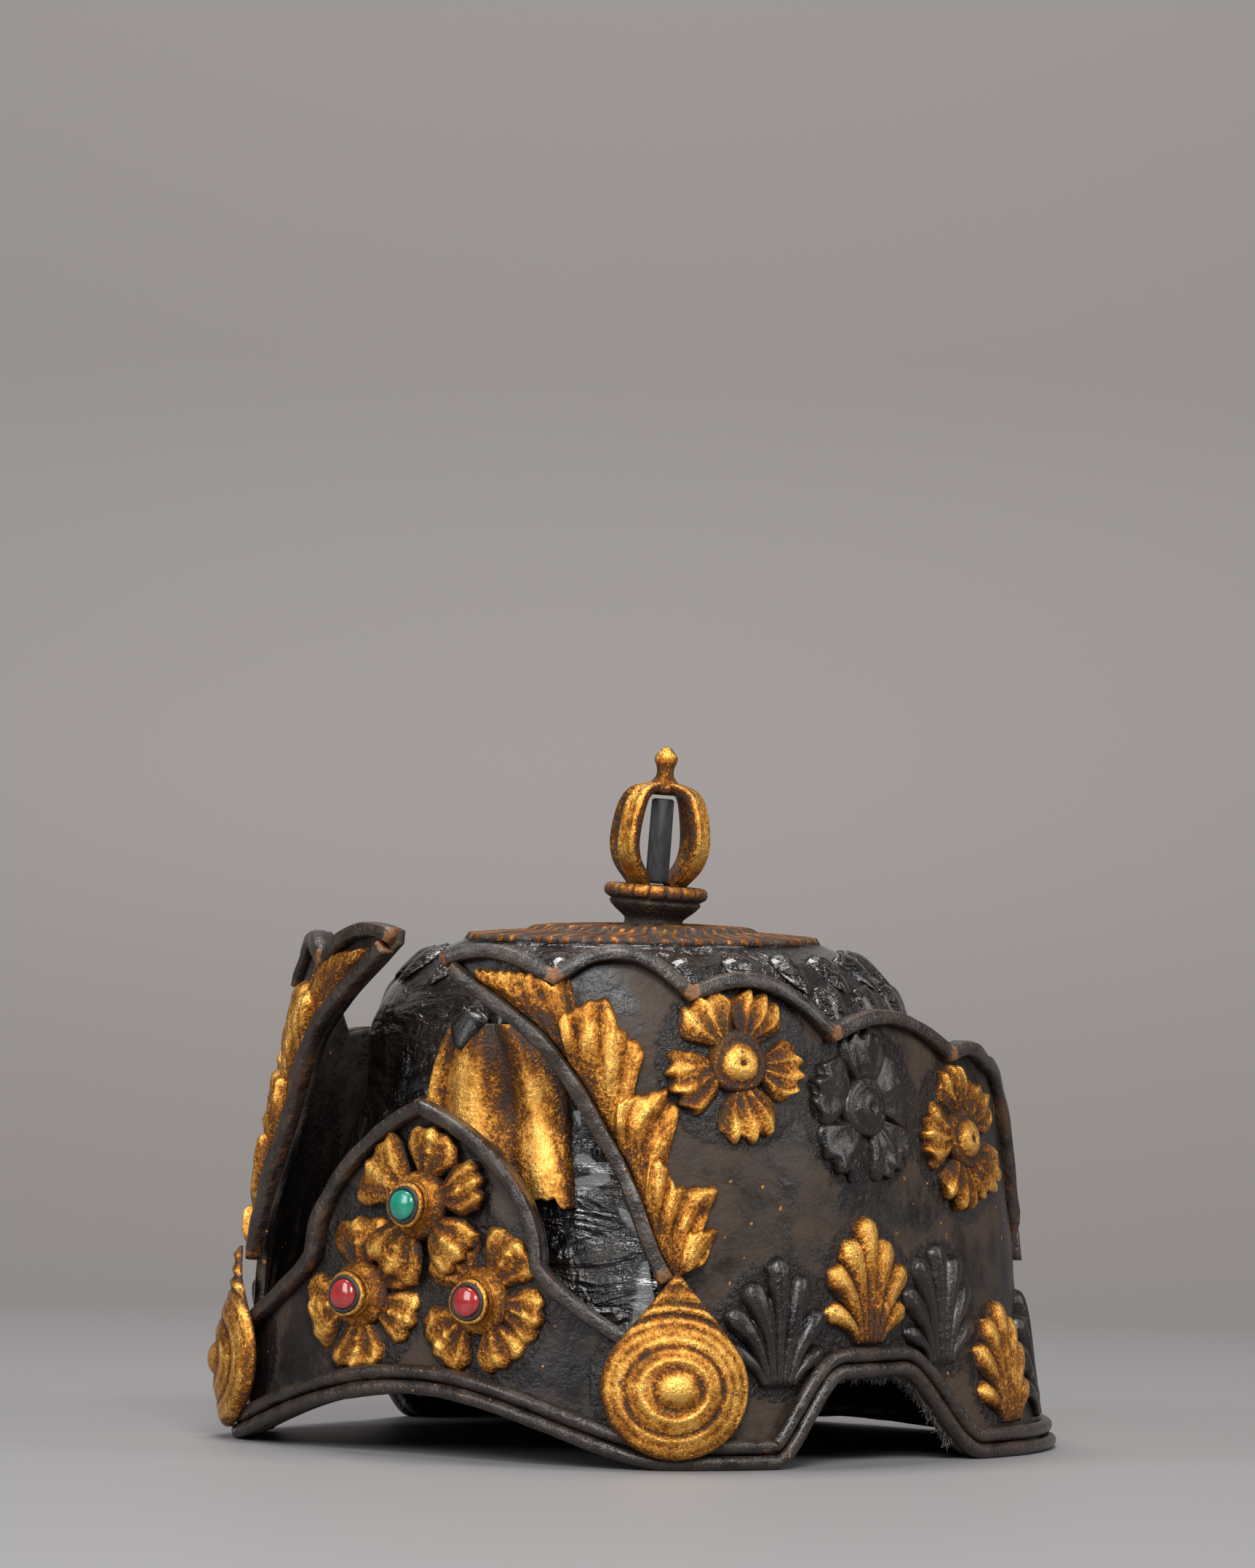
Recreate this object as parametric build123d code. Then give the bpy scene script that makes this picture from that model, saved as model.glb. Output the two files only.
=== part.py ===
from build123d import *
import os
from math import acos, copysign, cos, degrees, hypot, pi, radians, sin, sqrt

# Ritual crown: a lacquered leather cap inside standing panels, with moulded gilt ornaments.
# Millimetres, +Z up, the front towards -Y, the right-hand side panel on +X.
# The origin is on the floor, under the middle of the crown's overall box.
# A turn is an angle in degrees about the upright axis, 0 at the front and 90 at +X.

# Standing wall that the panels follow
wall_width = 194.0
wall_length = 210.0
wall_height = 142.0
panel_thickness = 2.5
seat_gap = 0.3
relief_gap = 0.45

# The front is dished inwards, below the tips of the side panels
front_dish = 8.0
dish_turn = 40.0
dish_fade_height = 78.0
dish_top_height = 118.0
cap_dish_fade_height = 56.0
cap_dish_top_height = 84.0

# Rear corners of the hem curl outwards
rear_flare = 7.5
flare_height = 48.0
flare_turn = 130.0
flare_spread = 38.0

# Hem line, with a shallow front arch, an ear notch on each side and a slight lift behind
front_hem_rise = 17.0
front_hem_turn = 42.0
front_hem_taper = 1.5
ear_rise = 24.0
ear_front_foot_turn = 59.0
ear_front_turn = 72.0
ear_rear_turn = 86.0
ear_rear_foot_turn = 105.0
back_hem_rise = 2.0
back_hem_turn = 26.0
panel_lift = 0.6

# Rims on the panel edges and the two cords of the hem
rim_width = 4.2
rim_depth = 3.6
cord_width = 4.0
cord_depth = 4.0
cord_step = 3.0

# Seams between the front, side and back panels
front_seam_turn = 41.2
rear_seam_turn = 137.5
front_foot_height = 50.0
rear_foot_height = 52.0
seam_opening = 0.3

# Side panel: tip near the front middle, scalloped top and rounded rear shoulder
tip_turn = 5.0
tip_edge_height = 134.0
shoulder_turn = 121.0
shoulder_height = 111.0
left_front_rise = 7.0
left_rear_drop = 13.0

# Front arch, its fullness and the sharpness of its point as powers
arch_height = 98.0
arch_cusp_turn = 23.6
arch_cusp_height = 54.5
arch_foot_height = 33.0
arch_fullness = 2.2
arch_sharpness = 0.65
arch_foot_bend = 0.8

# Back arch
back_arch_height = 102.0

# Inner cap, its belly set in from the foot of the wall
cap_side_inset = 6.5
cap_end_inset = 7.0
cap_width = wall_width - 2.0 * cap_side_inset
cap_length = wall_length - 2.0 * cap_end_inset
cap_height = 141.0
cap_thickness = 2.0
cap_gap = 0.6
cap_columns = 30
lotus_thickness = 1.2
lotus_petals = 16
lotus_margin = 2.0
lotus_valley = 0.93

# Half vajra on the top
finial_back = 4.5
finial_lean_back = 2.04
finial_lean_aside = 2.72
pedestal_height = 14.0
pedestal_rim = 29.0
pedestal_foot = 18.0
pedestal_waist = 16.0
pedestal_notches = 18
notch_depth = 1.6
notch_width = 0.9
foot_allowance = 2.0
cage_width = 29.0
cage_height = 29.0
prong_width = 6.0
prong_depth = 3.6
prong_count = 4
prong_drop = 1.5
rod_diameter = 6.5
rod_headroom = 5.0
neck_diameter = 4.4
neck_root = 4.0
neck_height = 4.2
knob_diameter = 6.8
knob_height = 5.4

# Flowers, their collars and stones; valley, shoulder and crest as shares of the radius
flower_radius = 20.6
flower_petals = 5
petal_valley = 0.46
petal_shoulder = 0.92
petal_crest = 0.62
flower_edge = 1.3
flower_rise = 2.4
collar_radius = 5.8
collar_rise = 3.6
middle_rise = 4.0
stone_diameter = 8.0
stone_rise = 2.8
stone_girdle = 0.35
front_flower_radius = 19.2
front_flower_height = 69.0
front_pair_height = 43.5
front_pair_turn = 12.0

# Palmettes along the hem; middle and foot as shares of the height and width, valley of the reach
palmette_height = 33.5
palmette_width = 30.0
palmette_fingers = 7
palmette_fan = 212.0
palmette_middle = 0.30
palmette_foot = 0.14
palmette_valley = 0.84
palmette_edge = 1.2
palmette_rise = 3.0

# Spiral bosses over the front corners
boss_turn = 43.5
boss_height = 22.3
boss_radius = 19.3
boss_tip = 31.5
boss_rise = 7.6
boss_edge = 1.6
boss_corners = 18

# Acanthus scroll beside each front edge, its headroom a share of the rim's width
acanthus_edge = 1.2
acanthus_rise = 3.2
acanthus_headroom = 1.2

# Pleated drape and its leaf on the front of the cap
drape_gap = 0.5
drape_top = 118.5
drape_length = 48.0
drape_edge = 1.2
drape_fold = 2.4
drape_folds = 8
drape_slope = 0.07
leaf_height = 116.5
leaf_turn = 1.5
leaf_length = 10.0
leaf_width = 8.0
leaf_thickness = 1.4

# Wall rows: height, width and length as shares of the wall's sizes, then squareness
WALL_ROWS = (
    (0.00, 1.000, 1.000, 2.60),
    (0.42, 0.975, 0.972, 2.60),
    (0.70, 0.928, 0.952, 2.45),
    (0.85, 0.897, 0.943, 2.35),
    (1.00, 0.830, 0.933, 2.20),
)

# Cap rows: height, width and length as shares of the cap's sizes, then squareness
CAP_ROWS = (
    (0.00, 1.000, 1.000, 2.50),
    (0.21, 0.990, 0.990, 2.50),
    (0.38, 0.950, 0.952, 2.45),
    (0.52, 0.865, 0.885, 2.35),
    (0.67, 0.790, 0.820, 2.20),
    (0.84, 0.765, 0.790, 2.20),
    (0.92, 0.700, 0.720, 2.15),
    (0.97, 0.610, 0.630, 2.10),
    (1.00, 0.510, 0.530, 2.10),
)

# Front edge of a side panel: share of its sweep towards the seam, share of its drop
FRONT_EDGE = (
    (0.00, 1.00),
    (0.13, 0.93),
    (0.28, 0.86),
    (0.53, 0.70),
    (0.71, 0.49),
    (0.85, 0.29),
    (0.94, 0.10),
    (1.00, 0.00),
)

# Lobes of a side panel's top: turn and height share at the lobe's end, rise of its arc, facets
LOBES = (
    (24.0, 0.946, 4.5, 4),
    (46.0, 0.919, 9.0, 5),
    (73.0, 0.842, 8.5, 6),
    (106.5, 0.799, 7.5, 7),
    (shoulder_turn, shoulder_height / wall_height, 3.0, 3),
)

# Acanthus stations: share along the front edge, reach of the leaves from the edge
ACANTHUS = (
    (0.14, 8.5),
    (0.21, 12.5),
    (0.29, 16.5),
    (0.35, 12.5),
    (0.45, 21.0),
    (0.49, 15.5),
    (0.54, 18.5),
    (0.59, 13.0),
    (0.68, 20.0),
    (0.75, 11.0),
    (0.87, 25.5),
    (0.92, 14.5),
    (0.98, 20.0),
)

# Side flowers of the right and left panels: name, turn, height share, tilt
SIDE_FLOWERS = (
    ("right_gold_flower_front", 53.6, 0.775, 28.0),
    ("right_black_flower", 80.0, 0.688, 10.0),
    ("right_gold_flower_rear", 108.5, 0.622, -4.0),
    ("left_gold_flower_front", -55.0, 0.665, 28.0),
    ("left_black_flower", -82.5, 0.615, 10.0),
    ("left_gold_flower_rear", -110.0, 0.540, -4.0),
    ("back_gold_flower_right", 156.0, 0.450, 0.0),
    ("back_gold_flower_left", -156.0, 0.450, 0.0),
)

# Front flowers: name, turn, height, tilt, and whether it lies over the other two
FRONT_FLOWERS = (
    ("top", 0.0, front_flower_height, 8.0, True),
    ("right", front_pair_turn, front_pair_height, 32.0, False),
    ("left", -front_pair_turn, front_pair_height, -14.0, False),
)

# Palmettes of one side: name, turn, height share of the base
PALMETTES = (
    ("black_palmette_front", 60.0, 0.165),
    ("gold_palmette_ear", 78.5, 0.240),
    ("black_palmette_ear", 97.5, 0.195),
    ("gold_palmette_rear", 115.5, 0.072),
    ("black_palmette_corner", 131.5, 0.072),
    ("gold_palmette_back", 147.0, 0.080),
    ("black_palmette_back", 163.0, 0.085),
)

# Drape rows: share of the way down, turns of its left and right side
DRAPE_ROWS = (
    (0.00, -1.0, 7.0),
    (0.16, -3.5, 15.0),
    (0.34, -6.0, 20.5),
    (0.66, -8.5, 24.0),
    (1.00, -10.0, 26.5),
)

# Leaf of the drape: shares of half its width and half its length
LEAF_CORNERS = (
    (0.0, 0.7),
    (0.6, 1.0),
    (1.0, 0.35),
    (0.7, -0.35),
    (0.0, -1.0),
    (-0.7, -0.35),
    (-1.0, 0.35),
    (-0.6, 1.0),
)

# Where the two columns that meet the seam stand, as shares of the way to it
SEAM_SHARES = (0.4, 0.8)

# Rings of a boss from its knob outwards: shares of its outline and of its rise
BOSS_RINGS = ((0.14, 1.00), (0.30, 0.62), (0.62, 0.55))

# Pedestal profile: diameter, height share
PEDESTAL_ROWS = (
    (pedestal_foot, 0.14),
    (pedestal_waist, 0.30),
    (pedestal_rim * 0.86, 0.62),
    (pedestal_rim, 0.74),
    (pedestal_rim, 0.96),
    (pedestal_rim * 0.92, 1.00),
)

# Neck and knob profile above the cage: diameter, height
KNOB_ROWS = (
    (neck_diameter * 1.3, 0.0),
    (neck_diameter, neck_height * 0.6),
    (knob_diameter, neck_height),
    (knob_diameter, neck_height + knob_height * 0.45),
    (knob_diameter * 0.35, neck_height + knob_height * 0.8),
)

# Heights of a panel's rows of facets, as shares of its height
PANEL_SHARES = (0.0, 0.12, 0.26, 0.45, 0.70, 1.0)
FRONT_SHARES = (0.0, 0.20, 0.42, 0.62, 0.76, 0.88, 1.0)

# Places of the facets along a shoulder, half an arch and an arch's foot, as shares of its span
SHOULDER_SHARES = (0.0, 0.30, 0.52, 0.70, 0.84, 0.94, 1.0)
BACK_SHARES = (0.0, 0.25, 0.50, 0.70, 0.84, 0.94, 1.0)
POINTED_SHARES = (0.0, 0.30, 0.55, 0.75, 0.88, 0.96, 1.0)
FOOT_SHARES = (0.35, 0.70, 1.0)

# Leaf section of the acanthus: share of its reach, share of its rise
LEAF_SECTION = ((0.35, 1.0), (0.70, 0.8))

# Half round section of a rim: how far out, how far to the side
HALF_ROUND = ((0.0, -1.0), (0.6, -0.9), (1.0, 0.0), (0.6, 1.0), (0.0, 1.0))


def between(rows, key):
    """The columns of a table at a key, straight between its rows."""
    place = sum(row[0] < key for row in rows) - 1
    place = min(len(rows) - 2, max(0, place))
    low = rows[place]
    high = rows[place + 1]
    mix = (key - low[0]) / (high[0] - low[0])
    return [a + (b - a) * mix for a, b in zip(low[1:], high[1:])]


def from_front(turn):
    """Unsigned angle between a turn and the front."""
    return abs((turn + 180.0) % 360.0 - 180.0)


def smooth(value):
    """Soft step from 0 to 1."""
    value = min(1.0, max(0.0, value))
    return value * value * (3.0 - 2.0 * value)


def plan_point(half_width, half_length, squareness, turn, out):
    """A point of a rounded plan at a turn, moved outwards."""
    east = sin(radians(turn)) / half_width
    south = cos(radians(turn)) / half_length
    reach = (abs(east) ** squareness + abs(south) ** squareness) ** (-1.0 / squareness)
    x = reach * sin(radians(turn))
    y = -reach * cos(radians(turn))
    normal_x = copysign(abs(x) ** (squareness - 1.0) / half_width**squareness, x)
    normal_y = copysign(abs(y) ** (squareness - 1.0) / half_length**squareness, y)
    size = hypot(normal_x, normal_y)
    return x + out * normal_x / size, y + out * normal_y / size


def dish(turn, height, fade, top):
    """How far the front is dished inwards at a point."""
    across = max(0.0, 1.0 - (from_front(turn) / dish_turn) ** 2)
    return front_dish * across * smooth((top - height) / (top - fade))


def on_wall(turn, height, out=0.0):
    """A point of the panels' outer face, moved outwards."""
    width, length, squareness = between(WALL_ROWS, height / wall_height)
    near = max(0.0, 1.0 - ((from_front(turn) - flare_turn) / flare_spread) ** 2)
    low = max(0.0, 1.0 - height / flare_height)
    flare = rear_flare * near * low**1.3
    half_width = wall_width / 2.0 * width
    half_length = wall_length / 2.0 * length
    flare -= dish(turn, height, dish_fade_height, dish_top_height)
    x, y = plan_point(half_width, half_length, squareness, turn, out + flare)
    return Vector(x, y, height)


def on_cap(turn, height, out=0.0):
    """A point of the cap's outer face, moved outwards."""
    width, length, squareness = between(CAP_ROWS, height / cap_height)
    half_width = cap_width / 2.0 * width
    half_length = cap_length / 2.0 * length
    out -= dish(turn, height, cap_dish_fade_height, cap_dish_top_height)
    x, y = plan_point(half_width, half_length, squareness, turn, out)
    return Vector(x, y, height)


def hem_height(turn):
    """Lowest line of the crown at a turn."""
    turn = from_front(turn)
    front = front_hem_rise * max(0.0, 1.0 - (turn / front_hem_turn) ** 2) ** front_hem_taper
    climb = smooth((turn - ear_front_foot_turn) / (ear_front_turn - ear_front_foot_turn))
    fall = smooth((ear_rear_foot_turn - turn) / (ear_rear_foot_turn - ear_rear_turn))
    ear = ear_rise * climb * fall
    back = back_hem_rise * smooth(1.0 - (180.0 - turn) / back_hem_turn)
    return front + ear + back


def left_shift(turn):
    """How far the left panel's top stands above or below the right one's."""
    if turn < front_seam_turn:
        return left_front_rise * (1.0 - turn / front_seam_turn)
    return -left_rear_drop * smooth((turn - front_seam_turn) / (90.0 - front_seam_turn))


def front_edge(turn):
    """Height of a side panel's slanting front edge."""
    sweep = (turn - tip_turn) / (front_seam_turn - tip_turn)
    (drop,) = between(FRONT_EDGE, sweep)
    return front_foot_height + (tip_edge_height - front_foot_height) * drop


def top_rows():
    """Turns and heights along a side panel's scalloped top and rear edge."""
    rows = []
    start_turn = tip_turn
    start_height = tip_edge_height + rim_width
    for end_turn, end_share, rise, facets in LOBES:
        end_height = end_share * wall_height
        for index in range(facets):
            share = index / facets
            arc = rise * 4.0 * share * (1.0 - share)
            turn = start_turn + (end_turn - start_turn) * share
            rows.append((turn, start_height + (end_height - start_height) * share + arc))
        start_turn = end_turn
        start_height = end_height
    for share in SHOULDER_SHARES:
        turn = shoulder_turn + (rear_seam_turn - shoulder_turn) * share
        fall = (shoulder_height - rear_foot_height) * sqrt(1.0 - share * share)
        rows.append((turn, rear_foot_height + fall))
    return rows


def raised_left(rows, side):
    """Turns and heights of a side panel's edge, with the left panel's shift where the side is -1."""
    if side > 0:
        return rows
    moved = []
    for turn, height in rows:
        share = (height - rear_foot_height) / (wall_height - rear_foot_height)
        moved.append((turn, height + left_shift(turn) * share))
    return moved


def degree_length(turn, height):
    """Length along the wall of one degree of turn."""
    return (on_wall(turn + 0.5, height) - on_wall(turn - 0.5, height)).length


def finer(path, parts):
    """A path with each of its runs divided into equal parts."""
    points = []
    for start, end in zip(path, path[1:]):
        for index in range(parts):
            share = index / parts
            points.append((start[0] + (end[0] - start[0]) * share, start[1] + (end[1] - start[1]) * share))
    points.append(path[-1])
    return points


def shifted(path, distance, closed=False):
    """A path of turns and heights moved sideways in the wall, to the right of its direction."""
    flat = [(turn * degree_length(turn, height), height) for turn, height in path]
    count = len(path)
    moved = []
    for index, (turn, height) in enumerate(path):
        before = flat[index - 1] if index > 0 or closed else None
        after = flat[(index + 1) % count] if index < count - 1 or closed else None
        scale = degree_length(turn, height)
        here = flat[index]
        whole = 360.0 * scale
        normals = []
        for start, end in ((before, here), (here, after)):
            if start is None or end is None:
                continue
            run = (end[0] - start[0] + whole / 2.0) % whole - whole / 2.0
            climb = end[1] - start[1]
            size = hypot(run, climb)
            normals.append((climb / size, -run / size))
        side_x = sum(normal[0] for normal in normals)
        side_y = sum(normal[1] for normal in normals)
        size = hypot(side_x, side_y)
        bend = max(0.7, size / len(normals))
        side_x = side_x / size * distance / bend
        side_y = side_y / size * distance / bend
        moved.append((turn + side_x / scale, height + side_y))
    return moved


class Facets:
    """A closed solid gathered from rows of corners."""

    def __init__(self):
        self.corners = []
        self.triangles = []

    def row(self, points):
        start = len(self.corners)
        self.corners.extend(points)
        return list(range(start, len(self.corners)))

    def join(self, first, second, closed=False):
        pairs = list(zip(first, second))
        if closed:
            pairs.append(pairs[0])
        for (a, b), (c, d) in zip(pairs, pairs[1:]):
            self.triangles.append((a, c, d))
            self.triangles.append((a, d, b))

    def fan(self, tip, row, closed=False):
        ends = row[1:] + row[:1] if closed else row[1:]
        for a, b in zip(row, ends):
            self.triangles.append((tip, a, b))

    def solid(self):
        faces = []
        for triangle in self.triangles:
            corners = [self.corners[index] for index in triangle]
            faces.append(Face(Wire.make_polygon(corners)))
        return Solid(Shell(faces))


def sheet(front_rows, back_rows):
    """A thin solid between two grids of points of the same layout."""
    mesh = Facets()
    front = [mesh.row(points) for points in front_rows]
    back = [mesh.row(points) for points in back_rows]
    for rows in (front, back):
        for first, second in zip(rows, rows[1:]):
            mesh.join(first, second)
    mesh.join(front[0], back[0])
    mesh.join(front[-1], back[-1])
    for end in (0, -1):
        mesh.join([row[end] for row in front], [row[end] for row in back])
    return mesh.solid()


def bar(section_rows, closed=False):
    """A bar through rows of points that run along it, one row for each corner of its section."""
    mesh = Facets()
    rows = [mesh.row(points) for points in section_rows]
    for first, second in zip(rows, rows[1:] + rows[:1]):
        mesh.join(first, second, closed)
    if not closed:
        for end in (0, -1):
            ring = [row[end] for row in rows]
            mesh.fan(ring[0], ring[1:])
    return mesh.solid()


def rim(path, inset, width, depth, closed=False):
    """A half round rim on the wall, its middle at an inset from a path."""
    rows = []
    for out, side in HALF_ROUND:
        line = shifted(path, inset + side * width / 2.0, closed)
        rows.append([on_wall(turn, height, relief_gap + out * depth) for turn, height in line])
    return bar(rows, closed)


def panel(columns, shares):
    """A leather panel between the lower and the upper end of each column."""
    front = []
    back = []
    for low_turn, low_height, high_turn, high_height in columns:
        front_column = []
        back_column = []
        for share in shares:
            turn = low_turn + (high_turn - low_turn) * share
            height = low_height + (high_height - low_height) * share
            front_column.append(on_wall(turn, height))
            back_column.append(on_wall(turn, height, -panel_thickness))
        front.append(front_column)
        back.append(back_column)
    return sheet(front, back)


def relief(place, outline, face_rings, back_rings, seat):
    """A raised ornament with a star outline, its back along the surface that carries it.

    Each face ring is a share of the outline and a rise above the seat.
    """
    mesh = Facets()
    middle = mesh.row([place(0.0, 0.0, seat + face_rings[0][1])])[0]
    front = []
    for share, rise in face_rings:
        points = [place(x * share, y * share, seat + rise) for x, y in outline]
        front.append(mesh.row(points))
    mesh.fan(middle, front[0], True)
    for first, second in zip(front, front[1:]):
        mesh.join(first, second, True)
    under = mesh.row([place(0.0, 0.0, seat)])[0]
    back = [mesh.row([place(x * share, y * share, seat) for x, y in outline]) for share in back_rings]
    mesh.fan(under, back[0], True)
    for first, second in zip(back, back[1:]):
        mesh.join(first, second, True)
    mesh.join(front[-1], back[-1], True)
    return mesh.solid()


def wall_place(turn, height):
    """A function that places millimetres along, up and out from a point of the wall."""
    scale = degree_length(turn, height)

    def place(along, up, out):
        return on_wall(turn + along / scale, height + up, out)

    return place


def polar(radius, angle):
    """A flat point at an angle in degrees, clockwise from straight up."""
    return radius * sin(radians(angle)), radius * cos(radians(angle))


def flower_outline(radius, tilt):
    """Petals as three outer corners with a valley between neighbours."""
    step = 360.0 / flower_petals
    corners = []
    for petal in range(flower_petals):
        angle = tilt + petal * step
        corners.append(polar(radius * petal_valley, angle - step / 2.0))
        corners.append(polar(radius * petal_shoulder, angle - step / 4.0))
        corners.append(polar(radius, angle))
        corners.append(polar(radius * petal_shoulder, angle + step / 4.0))
    return corners


def flower(turn, height, radius, tilt, seat, rise):
    """A five-petalled flower with a raised middle."""
    rings = ((collar_radius / radius, rise), (petal_crest, flower_rise), (1.0, flower_edge))
    outline = flower_outline(radius, tilt)
    return relief(wall_place(turn, height), outline, rings, (0.5, 1.0), seat)


def stone(turn, height, seat):
    """A polished stone on a flower's collar."""
    low = seat + collar_rise + seat_gap
    base = on_wall(turn, height, low)
    outward = on_wall(turn, height, low + 1.0) - base
    radius = stone_diameter / 2.0
    shoulder = stone_rise * stone_girdle
    corners = [(0.0, 0.0), (radius, 0.0)]
    for step in range(5):
        angle = radians(step * 18.0)
        corners.append((radius * cos(angle), shoulder + (stone_rise - shoulder) * sin(angle)))
    corners.append((0.0, stone_rise))
    profile = Plane.XZ * make_face(Polyline(*corners, close=True))
    return Plane(base, z_dir=outward) * revolve(profile, Axis.Z)


def palmette(turn, base):
    """A fan of fingers over a narrow foot."""
    middle = palmette_height * palmette_middle
    spread = palmette_fan / palmette_fingers
    tall = palmette_height - middle
    wide = palmette_width / 2.0
    half = (palmette_fingers - 1) / 2.0
    corners = []
    for finger in range(palmette_fingers):
        away = finger - half
        reach = tall + (wide - tall) * abs(away) / half
        corners.append(polar(reach, away * spread))
        if finger < palmette_fingers - 1:
            corners.append(polar(reach * palmette_valley, (away + 0.5) * spread))
    corners.append((palmette_width * palmette_foot, -middle))
    corners.append((-palmette_width * palmette_foot, -middle))
    rings = ((0.5, palmette_rise), (1.0, palmette_edge))
    return relief(wall_place(turn, base + middle), corners, rings, (0.55, 1.0), relief_gap)


def boss_outline():
    """Round shell drawn out to a point at the top."""
    tangent = degrees(acos(boss_radius / boss_tip))
    corners = []
    for index in range(boss_corners):
        angle = -180.0 + index * 360.0 / boss_corners
        slack = max(0.0, tangent - abs(angle))
        corners.append(polar(boss_radius / cos(radians(slack)), angle))
    return corners


def boss(side):
    """Spiral shell boss that stands off over the hem cords at a front corner."""
    seat = relief_gap + seat_gap + max(cord_depth, rim_depth)
    rings = [(share, boss_rise * rise) for share, rise in BOSS_RINGS]
    rings.append((1.0, boss_edge))
    place = wall_place(side * boss_turn, boss_height)
    return relief(place, boss_outline(), rings, (0.5, 1.0), seat)


def side_columns(side):
    """Columns of a side panel, from its slanting front edge round to the rear seam."""
    seam = front_seam_turn + degrees(seat_gap / wall_width)
    columns = []
    before = 0.0
    rows = raised_left(top_rows(), side)
    for turn, height in rows:
        if before < seam <= turn:
            feet = (front_foot_height, hem_height(seam) + panel_lift)
            for share, foot in zip(SEAM_SHARES, feet):
                high_turn = before + (seam - before) * share
                (top,) = between(rows, high_turn)
                columns.append((seam, foot, high_turn, top))
        if turn < seam:
            ((_, low),) = raised_left([(turn, front_edge(turn))], side)
        else:
            low = hem_height(turn) + panel_lift
        columns.append((turn, low, turn, height))
        before = turn
    return [(side * a, b, side * c, d) for a, b, c, d in columns]


def front_edge_path(side):
    """Turns and heights down a side panel's slanting front edge."""
    turns = [tip_turn + (front_seam_turn - tip_turn) * sweep for sweep, drop in FRONT_EDGE]
    return raised_left([(turn, front_edge(turn)) for turn in turns], side)


def front_top():
    """Turns and heights of the front arch and its sloping feet, for one half."""
    rows = []
    for share in POINTED_SHARES:
        rise = (arch_height - arch_cusp_height) * (1.0 - share**arch_fullness) ** arch_sharpness
        rows.append((arch_cusp_turn * share, arch_cusp_height + rise))
    for share in FOOT_SHARES:
        turn = arch_cusp_turn + (front_seam_turn - seam_opening - arch_cusp_turn) * share
        drop = (arch_cusp_height - arch_foot_height) * share**arch_foot_bend
        rows.append((turn, arch_cusp_height - drop))
    return rows


def back_top():
    """Turns and heights of the back arch, for one half, from its middle to the seam."""
    reach = 180.0 - rear_seam_turn - seam_opening
    rows = []
    for share in BACK_SHARES:
        rise = (back_arch_height - rear_foot_height) * sqrt(1.0 - share * share)
        rows.append((180.0 - reach * share, rear_foot_height + rise))
    return rows


def both_halves(rows, middle):
    """One half of a symmetric edge and its mirror image about a middle turn."""
    mirrored = [(2.0 * middle - turn, height) for turn, height in rows[1:]]
    return mirrored[::-1] + rows


def cap():
    """The closed leather cap with an open underside, its lower edge seated inside the panels."""
    turns = [index * 360.0 / cap_columns for index in range(cap_columns)]
    mesh = Facets()
    shells = []
    for out in (0.0, -cap_thickness):
        seat = out - panel_thickness - cap_gap
        rows = [mesh.row([on_wall(turn, hem_height(turn) + cord_width, seat) for turn in turns])]
        for share, width, length, squareness in CAP_ROWS[2:]:
            points = [on_cap(turn, cap_height * share, out) for turn in turns]
            if share == 1.0:
                points = [point + Vector(0.0, 0.0, out) for point in points]
            rows.append(mesh.row(points))
        for first, second in zip(rows, rows[1:]):
            mesh.join(first, second, True)
        middle = mesh.row([Vector(0.0, 0.0, cap_height + out)])[0]
        mesh.fan(middle, rows[-1], True)
        shells.append(rows)
    mesh.join(shells[0][0], shells[1][0], True)
    return mesh.solid()


def cap_lotus():
    """A flat ring of petals on the top of the cap, round the finial."""
    half_width = cap_width / 2.0 * CAP_ROWS[-1][1] - lotus_margin
    half_length = cap_length / 2.0 * CAP_ROWS[-1][2] - lotus_margin
    step = 2.0 * pi / lotus_petals
    edge = Curve()
    for petal in range(lotus_petals):
        corners = []
        for share, reach in ((0.0, lotus_valley), (0.5, 1.0), (1.0, lotus_valley)):
            angle = (petal + share) * step
            corners.append((half_width * reach * cos(angle), half_length * reach * sin(angle)))
        edge += ThreePointArc(*corners)
    plate = extrude(make_face(edge), lotus_thickness)
    return Pos(0.0, 0.0, cap_height + seat_gap) * plate


def finial_place():
    """The leaning frame of the finial, its origin at the middle of its foot."""
    foot_height = cap_height + lotus_thickness + 2.0 * seat_gap
    return Pos(0.0, finial_back, foot_height) * Rot(-finial_lean_back, finial_lean_aside, 0.0)


def pedestal():
    """Lotus bowl with a notched rim, its foot cut level with the cap."""
    corners = [(0.0, -foot_allowance), (pedestal_foot / 2.0, -foot_allowance)]
    corners += [(diameter / 2.0, pedestal_height * share) for diameter, share in PEDESTAL_ROWS]
    corners.append((0.0, pedestal_height))
    outline = Polyline(*corners, close=True)
    body = revolve(Plane.XZ * make_face(outline), Axis.Z)
    cutter = Box(notch_depth, notch_width, pedestal_height * 0.2)
    notch = Pos(pedestal_rim / 2.0, 0.0, pedestal_height * 0.85) * cutter
    for index in range(pedestal_notches):
        body -= Rot(0.0, 0.0, index * 360.0 / pedestal_notches) * notch
    body = finial_place() * body
    level = Plane((0.0, 0.0, cap_height + lotus_thickness + 2.0 * seat_gap))
    return split(body, bisect_by=level, keep=Keep.TOP)


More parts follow.
